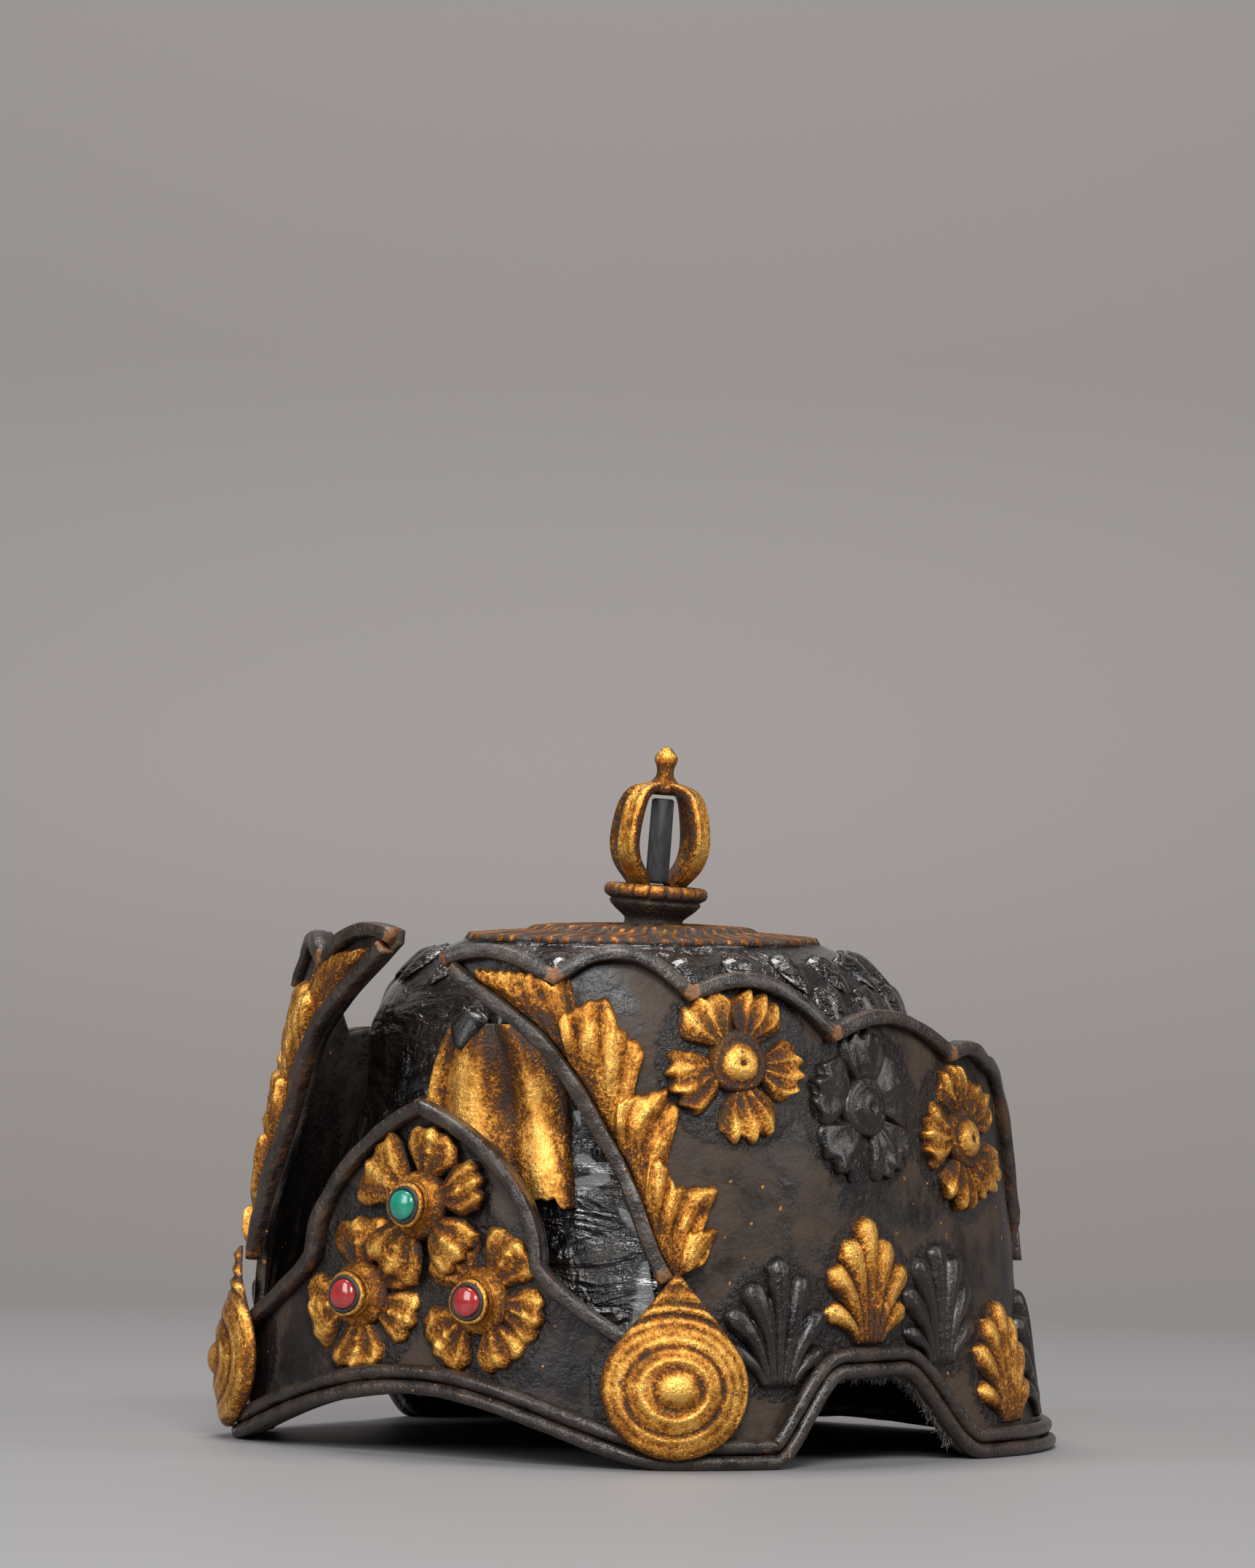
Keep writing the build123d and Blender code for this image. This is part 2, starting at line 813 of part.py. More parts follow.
def prongs():
    """Four bowed prongs that meet under a neck and a pointed knob."""
    base = pedestal_height + seat_gap
    top = base + cage_height
    mean = (cage_width - prong_depth) / 2.0
    low = rod_diameter / 2.0 + prong_depth
    belly = base + cage_height / 2.0
    path = Plane.XZ * ThreePointArc((low, base), (mean, belly), (0.0, top - prong_drop))
    section = Plane(path @ 0.0, z_dir=path % 0.0) * Rectangle(prong_width, prong_depth)
    bow = sweep(section, path=path)
    keep = Pos(0.0, 0.0, belly) * Box(cage_width * 2.0, cage_width * 2.0, cage_height)
    bow = bow & keep
    cage = bow
    for index in range(1, prong_count):
        cage += Rot(0.0, 0.0, index * 360.0 / prong_count) * bow
    corners = [(0.0, top - neck_root), (neck_diameter * 0.75, top - neck_root)]
    corners += [(diameter / 2.0, top + height) for diameter, height in KNOB_ROWS]
    corners.append((0.0, top + neck_height + knob_height))
    outline = Polyline(*corners, close=True)
    cage += revolve(Plane.XZ * make_face(outline), Axis.Z)
    return finial_place() * (cage - rod_blank(seat_gap))


def rod_blank(clearance):
    """The rod in the finial's own frame, wider by a clearance."""
    base = pedestal_height + seat_gap
    length = cage_height - rod_headroom
    radius = rod_diameter / 2.0 + clearance
    return Pos(0.0, 0.0, base + length / 2.0) * Cylinder(radius, length + 2.0 * clearance)


def acanthus(side):
    """A row of leaves beside the slanting front edge of a side panel."""
    edge = front_edge_path(side)
    line = []
    reaches = []
    for share, reach in finer(ACANTHUS, 2):
        row = share * (len(edge) - 1)
        first = min(len(edge) - 2, int(row))
        mix = row - first
        start = edge[first]
        end = edge[first + 1]
        line.append((start[0] + (end[0] - start[0]) * mix, start[1] + (end[1] - start[1]) * mix))
        reaches.append(reach)
    inner = rim_width + 3.0 * seat_gap
    ceiling = raised_left(top_rows(), side)
    profile = [(0.0, acanthus_edge)]
    profile += [(share, acanthus_rise * rise) for share, rise in LEAF_SECTION]
    profile.append((1.0, acanthus_edge))
    front = []
    back = []
    for share, rise in profile:
        front_row = []
        back_row = []
        for index, reach in enumerate(reaches):
            distance = inner + (reach - inner) * share
            turn, height = shifted(line, -distance)[index]
            (top,) = between(ceiling, turn)
            slack = acanthus_headroom * rim_width + seat_gap + (1.0 - share) * acanthus_edge
            height = min(height, top - slack)
            front_row.append(on_wall(side * turn, height, relief_gap + rise))
            back_row.append(on_wall(side * turn, height, relief_gap))
        front.append(front_row)
        back.append(back_row)
    return sheet(front, back)


def drape():
    """Pleated drape on the front of the cap, narrow above and wide below."""
    front = []
    back = []
    for share, left, right in DRAPE_ROWS:
        front_row = []
        back_row = []
        for index in range(drape_folds + 1):
            across = index / drape_folds
            turn = left + (right - left) * across
            height = drape_top - drape_length * share * (1.0 - drape_slope * (1.0 - across))
            rise = drape_edge + (drape_fold if index % 2 else 0.0)
            front_row.append(on_cap(turn, height, drape_gap + rise))
            back_row.append(on_cap(turn, height, drape_gap))
        front.append(front_row)
        back.append(back_row)
    return sheet(front, back)


def drape_leaf():
    """Small heart-shaped leaf over the top of the drape."""
    seat = relief_gap + drape_gap + drape_edge + drape_fold
    scale = (on_cap(leaf_turn + 0.5, leaf_height) - on_cap(leaf_turn - 0.5, leaf_height)).length

    def place(along, up, out):
        return on_cap(leaf_turn + along / scale, leaf_height + up, out)

    corners = [(leaf_width / 2.0 * across, leaf_length / 2.0 * up) for across, up in LEAF_CORNERS]
    rings = ((0.4, leaf_thickness), (1.0, leaf_thickness * 0.6))
    return relief(place, corners, rings, (1.0,), seat)


def hem_path():
    """Closed path of turns and heights along the hem, closer set at the ear notches."""
    path = []
    for index in range(round(360.0 / cord_step)):
        turn = -180.0 + index * cord_step
        notch = ear_front_foot_turn - cord_step < from_front(turn) < ear_rear_foot_turn + cord_step
        if notch or index % 2 == 0:
            path.append((turn, hem_height(turn)))
    return path


def build():
    """Every piece of the crown by name."""
    pieces = {}
    pieces["cap"] = cap()
    pieces["cap_lotus"] = cap_lotus()
    pieces["finial_pedestal"] = pedestal()
    pieces["finial_prongs"] = prongs()
    pieces["finial_rod"] = finial_place() * rod_blank(0.0)

    front_rows = both_halves(front_top(), 0.0)
    columns = [(turn, hem_height(turn) + panel_lift, turn, top) for turn, top in front_rows]
    pieces["front_panel"] = panel(columns, FRONT_SHARES)
    pieces["front_arch_rim"] = rim(finer(front_rows, 2), rim_width / 2.0, rim_width, rim_depth)
    back_rows = both_halves(back_top(), 180.0)[::-1]
    columns = [(turn, hem_height(turn) + panel_lift, turn, top) for turn, top in back_rows]
    pieces["back_panel"] = panel(columns, PANEL_SHARES)
    pieces["back_arch_rim"] = rim(finer(back_rows, 2), rim_width / 2.0, rim_width, rim_depth)

    for side, name in ((1, "right"), (-1, "left")):
        pieces[name + "_panel"] = panel(side_columns(side), PANEL_SHARES)
        top = [(side * turn, height) for turn, height in raised_left(top_rows(), side)]
        edge = [(side * turn, height) for turn, height in front_edge_path(side)]
        pieces[name + "_top_rim"] = rim(top, side * rim_width / 2.0, rim_width, rim_depth)
        edge = finer(edge, 2)[1:]
        pieces[name + "_front_rim"] = rim(edge, -side * rim_width / 2.0, rim_width, rim_depth)
        pieces[name + "_acanthus"] = acanthus(side)
        pieces[name + "_boss"] = boss(side)
        for palmette_name, turn, base in PALMETTES:
            pieces[name + "_" + palmette_name] = palmette(side * turn, base * wall_height)
    pieces["gold_palmette_back_middle"] = palmette(180.0, PALMETTES[-1][2] * wall_height)

    for name, turn, height, tilt in SIDE_FLOWERS:
        place = (turn, height * wall_height, flower_radius, tilt)
        pieces[name] = flower(*place, relief_gap, middle_rise)
    for name, turn, height, tilt, over in FRONT_FLOWERS:
        seat = relief_gap + (seat_gap + flower_rise if over else 0.0)
        place = (turn, height, front_flower_radius, tilt)
        pieces["front_flower_" + name] = flower(*place, seat, collar_rise)
        pieces["front_stone_" + name] = stone(turn, height, seat)

    pieces["drape"] = drape()
    pieces["drape_leaf"] = drape_leaf()
    upper = -1.5 * cord_width - seat_gap
    pieces["hem_cord_lower"] = rim(hem_path(), -0.5 * cord_width, cord_width, cord_depth, True)
    pieces["hem_cord_upper"] = rim(hem_path(), upper, cord_width, cord_depth, True)
    return pieces


def centred(pieces):
    """The pieces moved so that the origin lies under the middle of their overall box."""
    boxes = [piece.bounding_box() for piece in pieces.values()]
    middle_x = (min(box.min.X for box in boxes) + max(box.max.X for box in boxes)) / 2.0
    middle_y = (min(box.min.Y for box in boxes) + max(box.max.Y for box in boxes)) / 2.0
    return {name: Pos(-middle_x, -middle_y, 0.0) * piece for name, piece in pieces.items()}


os.makedirs("parts", exist_ok=True)
for piece_name, piece in centred(build()).items():
    export_step(piece, "parts/" + piece_name + ".step")
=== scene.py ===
"""Looks of a lacquered and gilt ritual crown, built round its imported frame.

Tables and shape functions work in millimetres in the wall's own frame: +Z up, the front towards -Y.
A turn is an angle in degrees about the upright axis, 0 at the front and 90 at +X.
"""

from math import acos, cos, degrees, pi, radians, sin

import bmesh
import bpy
import numpy as np
from bpy.props import FloatProperty, FloatVectorProperty, IntProperty, PointerProperty
from mathutils import Matrix, Vector


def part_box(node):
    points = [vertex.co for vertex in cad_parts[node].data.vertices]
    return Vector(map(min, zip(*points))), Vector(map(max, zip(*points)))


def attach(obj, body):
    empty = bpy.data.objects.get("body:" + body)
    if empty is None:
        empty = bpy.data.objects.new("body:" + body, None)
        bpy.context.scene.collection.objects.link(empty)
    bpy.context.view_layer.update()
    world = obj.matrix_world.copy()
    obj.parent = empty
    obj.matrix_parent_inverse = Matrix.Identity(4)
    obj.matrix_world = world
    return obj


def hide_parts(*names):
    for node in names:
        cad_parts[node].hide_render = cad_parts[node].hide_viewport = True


bl_info = {
    "name": "Ritual crown",
    "version": (1, 0, 0),
    "blender": (4, 5, 0),
    "location": "3D View > Sidebar > Crown",
    "description": "Builds a lacquered and gilt ritual crown round its frame",
    "category": "Object",
}

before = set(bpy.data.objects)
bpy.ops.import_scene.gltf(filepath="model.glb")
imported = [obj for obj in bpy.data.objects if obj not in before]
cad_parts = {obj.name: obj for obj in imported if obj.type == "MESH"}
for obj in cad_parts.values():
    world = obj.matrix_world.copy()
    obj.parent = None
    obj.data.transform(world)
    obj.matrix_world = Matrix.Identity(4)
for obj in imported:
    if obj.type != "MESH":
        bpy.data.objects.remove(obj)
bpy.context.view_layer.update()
MM = 0.001
PLATE_LOW, PLATE_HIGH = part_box("cap_lotus")
SHIFT = np.array([(PLATE_LOW[0] + PLATE_HIGH[0]) / 2.0, (PLATE_LOW[1] + PLATE_HIGH[1]) / 2.0, 0.0])

# Standing wall
WALL = (194.0, 210.0, 142.0)
CAP = (181.0, 196.0, 141.0)
PANEL_THICKNESS = 2.5
RELIEF_GAP = 0.45
SEAT_GAP = 0.3
HEM_CORD = 4.0
FRONT_SEAM = 41.2
REAR_SEAM = 137.5
FRONT_FOOT = 50.0
REAR_FOOT = 52.0
TIP_TURN = 5.0
TIP_HEIGHT = 134.0
SHOULDER = (121.0, 111.0)
CAP_THICKNESS = 2.0
SEAM_GAP = 0.3
DISH_TURN = 40.0
DISH_DEPTH = 8.0
ARCH_TOP = 98.0
ARCH_SHOULDER = (23.6, 54.5)
ARCH_FOOT = 33.0
BACK_ARCH_TOP = 102.0
BOSS_PLACE = (43.5, 22.3)
BOSS_RADIUS = 19.3
BOSS_REACH = 31.5
DRAPE_TOP = 118.5
DRAPE_LENGTH = 48.0
DRAPE_LEAF_PLACE = (1.5, 116.5)

# Height, width and length as shares, then squareness
WALL_ROWS = (
    (0.00, 1.000, 1.000, 2.60), (0.42, 0.975, 0.972, 2.60), (0.70, 0.928, 0.952, 2.45),
    (0.85, 0.897, 0.943, 2.35), (1.00, 0.830, 0.933, 2.20),
)
CAP_ROWS = (
    (0.00, 1.000, 1.000, 2.50), (0.21, 0.990, 0.990, 2.50), (0.38, 0.950, 0.952, 2.45),
    (0.52, 0.865, 0.885, 2.35), (0.67, 0.790, 0.820, 2.20), (0.84, 0.765, 0.790, 2.20),
    (0.92, 0.700, 0.720, 2.15), (0.97, 0.610, 0.630, 2.10), (1.00, 0.510, 0.530, 2.10),
)

# Front edge of a side panel: share of its sweep, share of its drop
FRONT_EDGE = (
    (0.00, 1.00), (0.13, 0.93), (0.28, 0.86), (0.53, 0.70), (0.71, 0.49), (0.85, 0.29), (0.94, 0.10),
    (1.00, 0.00),
)

# Lobes of a side panel's top: turn and height share at the end, rise of the arc
LOBES = (
    (24.0, 0.946, 4.5), (46.0, 0.919, 9.0), (73.0, 0.842, 8.5), (106.5, 0.799, 7.5), (121.0, 0.7817, 3.0),
)

# Name, turn, height share, then the angles of the petals, clockwise from straight up
SIDE_FLOWERS = (
    ("right_gold_flower_front", 53.6, 0.775, (-36, 26, 100, 168, 248)),
    ("right_black_flower", 80.0, 0.688, (4, 72, 142, 216, 290)),
    ("right_gold_flower_rear", 108.5, 0.622, (-10, 52, 128, 196, 276)),
    ("left_gold_flower_front", -55.0, 0.665, (28, 100, 172, 244, 316)),
    ("left_black_flower", -82.5, 0.615, (10, 82, 154, 226, 298)),
    ("left_gold_flower_rear", -110.0, 0.540, (-4, 68, 140, 212, 284)),
    ("back_gold_flower_right", 156.0, 0.450, (0, 72, 144, 216, 288)),
    ("back_gold_flower_left", -156.0, 0.450, (0, 72, 144, 216, 288)),
)
FRONT_FLOWERS = (
    ("top", 0.0, 69.0, (15, 74, 133, 210, 302), 3.15),
    ("right", 12.0, 43.5, (36, 102, 151, 228, 318), 0.45),
    ("left", -12.0, 43.5, (-6, 56, 112, 178, 250), 0.45),
)
PALMETTES = (
    ("black_palmette_front", 60.0, 0.165),
    ("gold_palmette_ear", 78.5, 0.240),
    ("black_palmette_ear", 97.5, 0.195),
    ("gold_palmette_rear", 115.5, 0.072),
    ("black_palmette_corner", 131.5, 0.072),
    ("gold_palmette_back", 147.0, 0.080),
    ("black_palmette_back", 163.0, 0.085),
)

# Drape: share of the way down, left and right turn
DRAPE_SIDES = (
    (0.0, -3.5, 13.0), (0.16, -5.0, 19.5), (0.34, -6.5, 23.5), (0.66, -8.5, 25.5), (1.0, -10.0, 27.0),
)


def soft_table(rows, parts=24):
    """A table made finer by a smooth curve through its rows."""
    rows = np.array(rows, float)
    slopes = np.gradient(rows[:, 1:], rows[:, 0], axis=0)
    finer = []
    for index in range(len(rows) - 1):
        width = rows[index + 1, 0] - rows[index, 0]
        for step in range(parts):
            t = step / parts
            blend = (
                (2 * t**3 - 3 * t**2 + 1) * rows[index, 1:]
                + (t**3 - 2 * t**2 + t) * width * slopes[index]
                + (3 * t**2 - 2 * t**3) * rows[index + 1, 1:]
                + (t**3 - t**2) * width * slopes[index + 1]
            )
            finer.append([rows[index, 0] + t * width, *blend])
    finer.append(list(rows[-1]))
    return np.array(finer)


def between(table, key):
    """Columns of a table at an array of keys, straight between its rows and beyond them."""
    key = np.asarray(key, float)
    place = np.clip(np.searchsorted(table[:, 0], key) - 1, 0, len(table) - 2)
    low = table[place]
    high = table[place + 1]
    mix = ((key - low[..., 0]) / (high[..., 0] - low[..., 0]))[..., None]
    return np.moveaxis(low[..., 1:] + (high - low)[..., 1:] * mix, -1, 0)


WALL_TABLE = soft_table(WALL_ROWS)
CAP_TABLE = soft_table(CAP_ROWS)
EDGE_TABLE = soft_table(FRONT_EDGE, 8)
DRAPE_TABLE = soft_table(DRAPE_SIDES, 10)


def from_front(turn):
    """Degrees away from the front, whichever side."""
    return np.abs((np.asarray(turn, float) + 180.0) % 360.0 - 180.0)


def smooth(value):
    """A soft step from 0 to 1."""
    value = np.clip(value, 0.0, 1.0)
    return value * value * (3.0 - 2.0 * value)


def plan(half_width, half_length, squareness, turn, height, out):
    """Points of a rounded plan, moved outwards."""
    turn = np.radians(turn)
    east = np.sin(turn)
    south = np.cos(turn)
    reach = np.abs(east / half_width) ** squareness + np.abs(south / half_length) ** squareness
    reach = reach ** (-1.0 / squareness)
    x = reach * east
    y = -reach * south
    normal_x = np.sign(x) * np.abs(x) ** (squareness - 1.0) / half_width**squareness
    normal_y = np.sign(y) * np.abs(y) ** (squareness - 1.0) / half_length**squareness
    size = np.hypot(normal_x, normal_y)
    x = x + out * normal_x / size
    y = y + out * normal_y / size
    return np.stack(np.broadcast_arrays(x, y, height), -1)


def dish(turn, height, fade, top):
    """How far the front is dished inwards."""
    across = np.clip(1.0 - (from_front(turn) / DISH_TURN) ** 2, 0.0, None)
    return DISH_DEPTH * across * smooth((top - height) / (top - fade))


def on_wall(turn, height, out=0.0):
    """Points of the panels' outer face."""
    turn, height, out = np.broadcast_arrays(turn, np.asarray(height, float), out)
    width, length, squareness = between(WALL_TABLE, height / WALL[2])
    near = np.clip(1.0 - ((from_front(turn) - 130.0) / 38.0) ** 2, 0.0, None)
    flare = 7.5 * near * np.clip(1.0 - height / 48.0, 0.0, None) ** 1.3
    out = out + flare - dish(turn, height, 78.0, 118.0)
    return plan(WALL[0] / 2.0 * width, WALL[1] / 2.0 * length, squareness, turn, height, out)


def on_cap(turn, height, out=0.0):
    """Points of the cap's outer face."""
    turn, height, out = np.broadcast_arrays(turn, np.asarray(height, float), out)
    width, length, squareness = between(CAP_TABLE, height / CAP[2])
    out = out - dish(turn, height, 56.0, 84.0)
    return plan(CAP[0] / 2.0 * width, CAP[1] / 2.0 * length, squareness, turn, height, out)


def hem_height(turn):
    """Lowest line of the crown."""
    turn = from_front(turn)
    front = 17.0 * np.clip(1.0 - (turn / 42.0) ** 2, 0.0, None) ** 1.5
    ear = 24.0 * smooth((turn - 59.0) / 13.0) * smooth((105.0 - turn) / 19.0)
    return front + ear + 2.0 * smooth(1.0 - (180.0 - turn) / 26.0)


def left_lift(turns, heights, side):
    """Heights of a side panel's edge, with the left panel's shift where the side is -1."""
    turns = np.asarray(turns, float)
    heights = np.asarray(heights, float)
    if side > 0:
        return heights
    front = 7.0 * (1.0 - turns / FRONT_SEAM)
    rear = -13.0 * smooth((turns - FRONT_SEAM) / (90.0 - FRONT_SEAM))
    share = (heights - REAR_FOOT) / (WALL[2] - REAR_FOOT)
    return heights + np.where(turns < FRONT_SEAM, front, rear) * share


def front_edge(turns, side):
    """Heights of a side panel's slanting front edge."""
    (drop,) = between(EDGE_TABLE, (np.asarray(turns) - TIP_TURN) / (FRONT_SEAM - TIP_TURN))
    return left_lift(turns, FRONT_FOOT + (TIP_HEIGHT - FRONT_FOOT) * drop, side)


def top_edge(side):
    """Turns, heights and wear along a side panel's scalloped top and rear edge."""
    turns = []
    heights = []
    cusps = []
    start = (TIP_TURN, TIP_HEIGHT + 4.2)
    for end_turn, end_share, rise in LOBES:
        end = (end_turn, end_share * WALL[2])
        share = np.linspace(0.0, 1.0, 17)[:-1]
        turns.extend(start[0] + (end[0] - start[0]) * share)
        heights.extend(start[1] + (end[1] - start[1]) * share + rise * 4.0 * share * (1.0 - share))
        cusps.append(end_turn)
        start = end
    angle = np.linspace(0.0, pi / 2.0, 26)
    turns.extend(SHOULDER[0] + (REAR_SEAM - SHOULDER[0]) * np.sin(angle))
    heights.extend(REAR_FOOT + (SHOULDER[1] - REAR_FOOT) * np.cos(angle))
    turns = np.array(turns)
    wear = sum(np.exp(-(((turns - cusp) / 1.1) ** 2)) for cusp in (TIP_TURN, *cusps[:-1]))
    return turns, left_lift(turns, heights, side), wear


def front_arch():
    """Turns, heights and wear along the top of the front panel, from left to right."""
    corner, low = ARCH_SHOULDER
    share = 1.0 - np.linspace(1.0, 0.0, 40) ** 1.9
    rise = (ARCH_TOP - low) * (1.0 - share) ** (0.36 + 0.10 * share)
    turns = list(corner * share)
    heights = list(low + rise)
    share = np.linspace(0.0, 1.0, 18)[1:]
    turns.extend(corner + (FRONT_SEAM - SEAM_GAP - corner) * share)
    heights.extend(low + (ARCH_FOOT - low) * share**0.8)
    turns = np.array([-turn for turn in turns[:0:-1]] + turns)
    heights = np.array(heights[:0:-1] + heights)
    wear = 0.62 * np.exp(-((turns / 1.6) ** 2)) + 0.45 * np.exp(-(((np.abs(turns) - 24.5) / 0.8) ** 2))
    return turns, heights, wear


def back_arch():
    """Turns, heights and wear along the top of the back panel."""
    angle = np.linspace(-pi / 2.0, pi / 2.0, 61)
    turns = 180.0 + (180.0 - REAR_SEAM - SEAM_GAP) * np.sin(angle)
    return turns, REAR_FOOT + (BACK_ARCH_TOP - REAR_FOOT) * np.cos(angle), np.zeros(61)


def degree_length(turn, height):
    """Length along the wall of one degree of turn."""
    step = on_wall(np.asarray(turn) + 0.5, height) - on_wall(np.asarray(turn) - 0.5, height)
    return np.linalg.norm(step, axis=-1)


def heading(x, y, stretch=1.0):
    """Unit direction at each point of a path, its x given in units of a stretch."""
    run = np.gradient(x) * stretch
    climb = np.gradient(y)
    size = np.hypot(run, climb)
    return run / size, climb / size


def shifted(turns, heights, distance):
    """A path on the wall moved sideways, to the right of its direction."""
    scale = degree_length(turns, heights)
    run, climb = heading(turns, heights, scale)
    return turns + climb * distance / scale, heights - run * distance


def wander(points, size, seed):
    """Soft irregular values from -1 to 1 over points in millimetres."""
    chance = np.random.default_rng(seed)
    total = 0.0
    for _ in range(7):
        direction = chance.normal(size=3)
        direction *= 2.0 * pi / size * chance.uniform(0.6, 1.5) / np.linalg.norm(direction)
        total = total + np.sin(points @ direction + chance.uniform(0.0, 2.0 * pi))
    return total / 4.0


def wall_place(turn, height):
    """A function that places millimetres along, up and out from a point of the wall."""
    scale = degree_length(turn, height)
    return lambda along, up, out: on_wall(turn + along / scale, height + up, out)


class Shell:
    """One closed body, gathered from rows of points. Lift is 1 on high spots and 0 in hollows; on gilding
    it paints shade into the hollows and a highlight onto the high spots.
    """

    def __init__(self, slot=0):
        self.points = []
        self.marks = []
        self.faces = []
        self.count = 0
        self.slot = slot

    def rows(self, points, lift=0.5, wear=0.0):
        points = np.asarray(points, float)
        shape = points.shape[:-1]
        marks = np.stack(np.broadcast_arrays(np.zeros(shape), lift, wear), -1)[..., 1:]
        self.points.append(points.reshape(-1, 3))
        self.marks.append(marks.reshape(-1, 2))
        index = np.arange(self.count, self.count + int(np.prod(shape))).reshape(shape)
        self.count = int(index.max()) + 1
        return index

    def quads(self, index, closed=False):
        """Faces between neighbouring rows, and round each row where it is closed."""
        if closed:
            index = np.concatenate([index, index[:, :1]], 1)
        corners = (index[:-1, :-1], index[:-1, 1:], index[1:, 1:], index[1:, :-1])
        self.faces.append(np.stack(corners, -1).reshape(-1, 4))

    def join(self, first, second, closed=False):
        self.quads(np.stack([first, second]), closed)

    def fan(self, tip, ring, closed=False, turned=False):
        ring = np.append(ring, ring[:1]) if closed else ring
        corners = [np.full(len(ring) - 1, tip), ring[:-1], ring[1:]]
        if turned:
            corners.reverse()
        self.faces.append(np.stack(corners, -1))

    def arrays(self):
        """Points, marks and triangle or quad faces, all facing outwards."""
        points = np.concatenate(self.points)
        volume = 0.0
        for faces in self.faces:
            for second in range(1, faces.shape[1] - 1):
                a, b, c = (points[faces[:, corner]] for corner in (0, second, second + 1))
                volume += np.einsum("ij,ij->", a, np.cross(b, c))
        faces = [group[:, ::-1] if volume < 0.0 else group for group in self.faces]
        return points, np.concatenate(self.marks), faces


def pillow(front, lift):
    """A closed body under a grid of front points, its back a ladder between its two long edges."""
    shell = Shell()
    index = shell.rows(front, lift)
    shell.quads(index)
    shell.join(index[:, -1], index[:, 0])
    shell.fan(index[0, 0], index[0, 1:], turned=True)
    shell.fan(index[-1, 0], index[-1, 1:])
    return shell


def lid(tip, rings, foot, lift=0.5, slot=0):
    """A closed body under rings of points round a tip, with one point under it."""
    shell = Shell(slot)
    centre = shell.rows([tip], np.ravel(lift)[0] if np.ndim(lift) else lift)
    index = shell.rows(rings, lift)
    under = shell.rows([foot], 0.0)
    shell.quads(index, True)
    shell.fan(centre[0], index[0], True, True)
    shell.fan(under[0], index[-1], True)
    return shell


def slab(front, back, lift, under=None):
    """A sheet between two grids of the same layout."""
    shell = Shell()
    first = shell.rows(front, lift)
    second = shell.rows(back, lift if under is None else under)
    shell.quads(first)
    shell.quads(second[:, ::-1])
    shell.join(second[0], first[0])
    shell.join(first[-1], second[-1])
    shell.join(first[:, 0], second[:, 0])
    shell.join(second[:, -1], first[:, -1])
    return shell


def bar(sections, lift=0.5, wear=0.0):
    """A bar through closed sections, with its ends closed."""
    shell = Shell()
    index = shell.rows(sections, lift, wear)
    shell.quads(index, True)
    shell.fan(index[0, 0], index[0, 1:], turned=True)
    shell.fan(index[-1, 0], index[-1, 1:])
    return shell


# Material slot of a finish, where it isn't the finish's own name
SLOTS = {"moulded_lacquer": "lacquer", "rubbed_gilding": "gilding"}


def make_piece(name, shells, *finishes):
    """One finished object from closed shells, standing for the CAD node of its name."""
    points = []
    marks = []
    loops = []
    totals = []
    slots = []
    start = 0
    for shell in shells:
        shell_points, shell_marks, groups = shell.arrays()
        points.append(shell_points)
        marks.append(shell_marks)
        for faces in groups:
            loops.append((faces + start).ravel())
            totals.append(np.full(len(faces), faces.shape[1]))
            slots.append(np.full(len(faces), shell.slot))
        start += len(shell_points)
    points = np.concatenate(points) * MM + SHIFT
    marks = np.concatenate(marks)
    loops = np.concatenate(loops)
    totals = np.concatenate(totals)
    mesh = bpy.data.meshes.new(name)
    mesh.vertices.add(len(points))
    mesh.vertices.foreach_set("co", points.astype(np.float32).ravel())
    mesh.loops.add(len(loops))
    mesh.loops.foreach_set("vertex_index", loops.astype(np.int32))
    mesh.polygons.add(len(totals))
    starts = np.concatenate([[0], np.cumsum(totals)[:-1]])
    mesh.polygons.foreach_set("loop_start", starts.astype(np.int32))
    mesh.polygons.foreach_set("loop_total", totals.astype(np.int32))
    mesh.polygons.foreach_set("material_index", np.concatenate(slots).astype(np.int32))
    mesh.update(calc_edges=True)
    for column, title in enumerate(("lift", "wear")):
        layer = mesh.attributes.new(title, "FLOAT", "POINT")
        layer.data.foreach_set("value", np.ascontiguousarray(marks[:, column], np.float32))
    mesh.validate()
    mesh.polygons.foreach_set("use_smooth", np.ones(len(mesh.polygons), bool))
    for finish in finishes:
        mesh.materials.append(material(finish))
    piece = bpy.data.objects.new(name, mesh)
    bpy.context.scene.collection.objects.link(piece)
    seat_piece(piece, [name.removesuffix("_look")], SLOTS.get(finishes[0], finishes[0]))


def seat_piece(piece, nodes, slot):
    """Attaches a finished piece to the root body and hides the CAD nodes it stands for. The slot is not
    used.
    """
    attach(piece, "root")
    if nodes:
        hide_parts(*nodes)


# Materials


class Field:
    """One output of a shader graph, with arithmetic that adds Math nodes."""

    def __init__(self, graph, socket):
        self.graph = graph
        self.socket = socket

    def math(self, operation, *values):
        return self.graph.node("ShaderNodeMath", {"operation": operation}, dict(enumerate(values))).out(0)

    def __add__(self, other):
        return self.math("ADD", self, other)

    def __radd__(self, other):
        return self.math("ADD", other, self)

    def __sub__(self, other):
        return self.math("SUBTRACT", self, other)

    def __rsub__(self, other):
        return self.math("SUBTRACT", other, self)

    def __mul__(self, other):
        return self.math("MULTIPLY", self, other)

    def __rmul__(self, other):
        return self.math("MULTIPLY", other, self)

    def clipped(self):
        return self.math("MINIMUM", self.math("MAXIMUM", self, 0.0), 1.0)

    def step(self, low, high):
        """A soft step from 0 at low to 1 at high."""
        settings = {"interpolation_type": "SMOOTHSTEP"}
        return self.graph.node("ShaderNodeMapRange", settings, {0: self, 1: low, 2: high}).out(0)


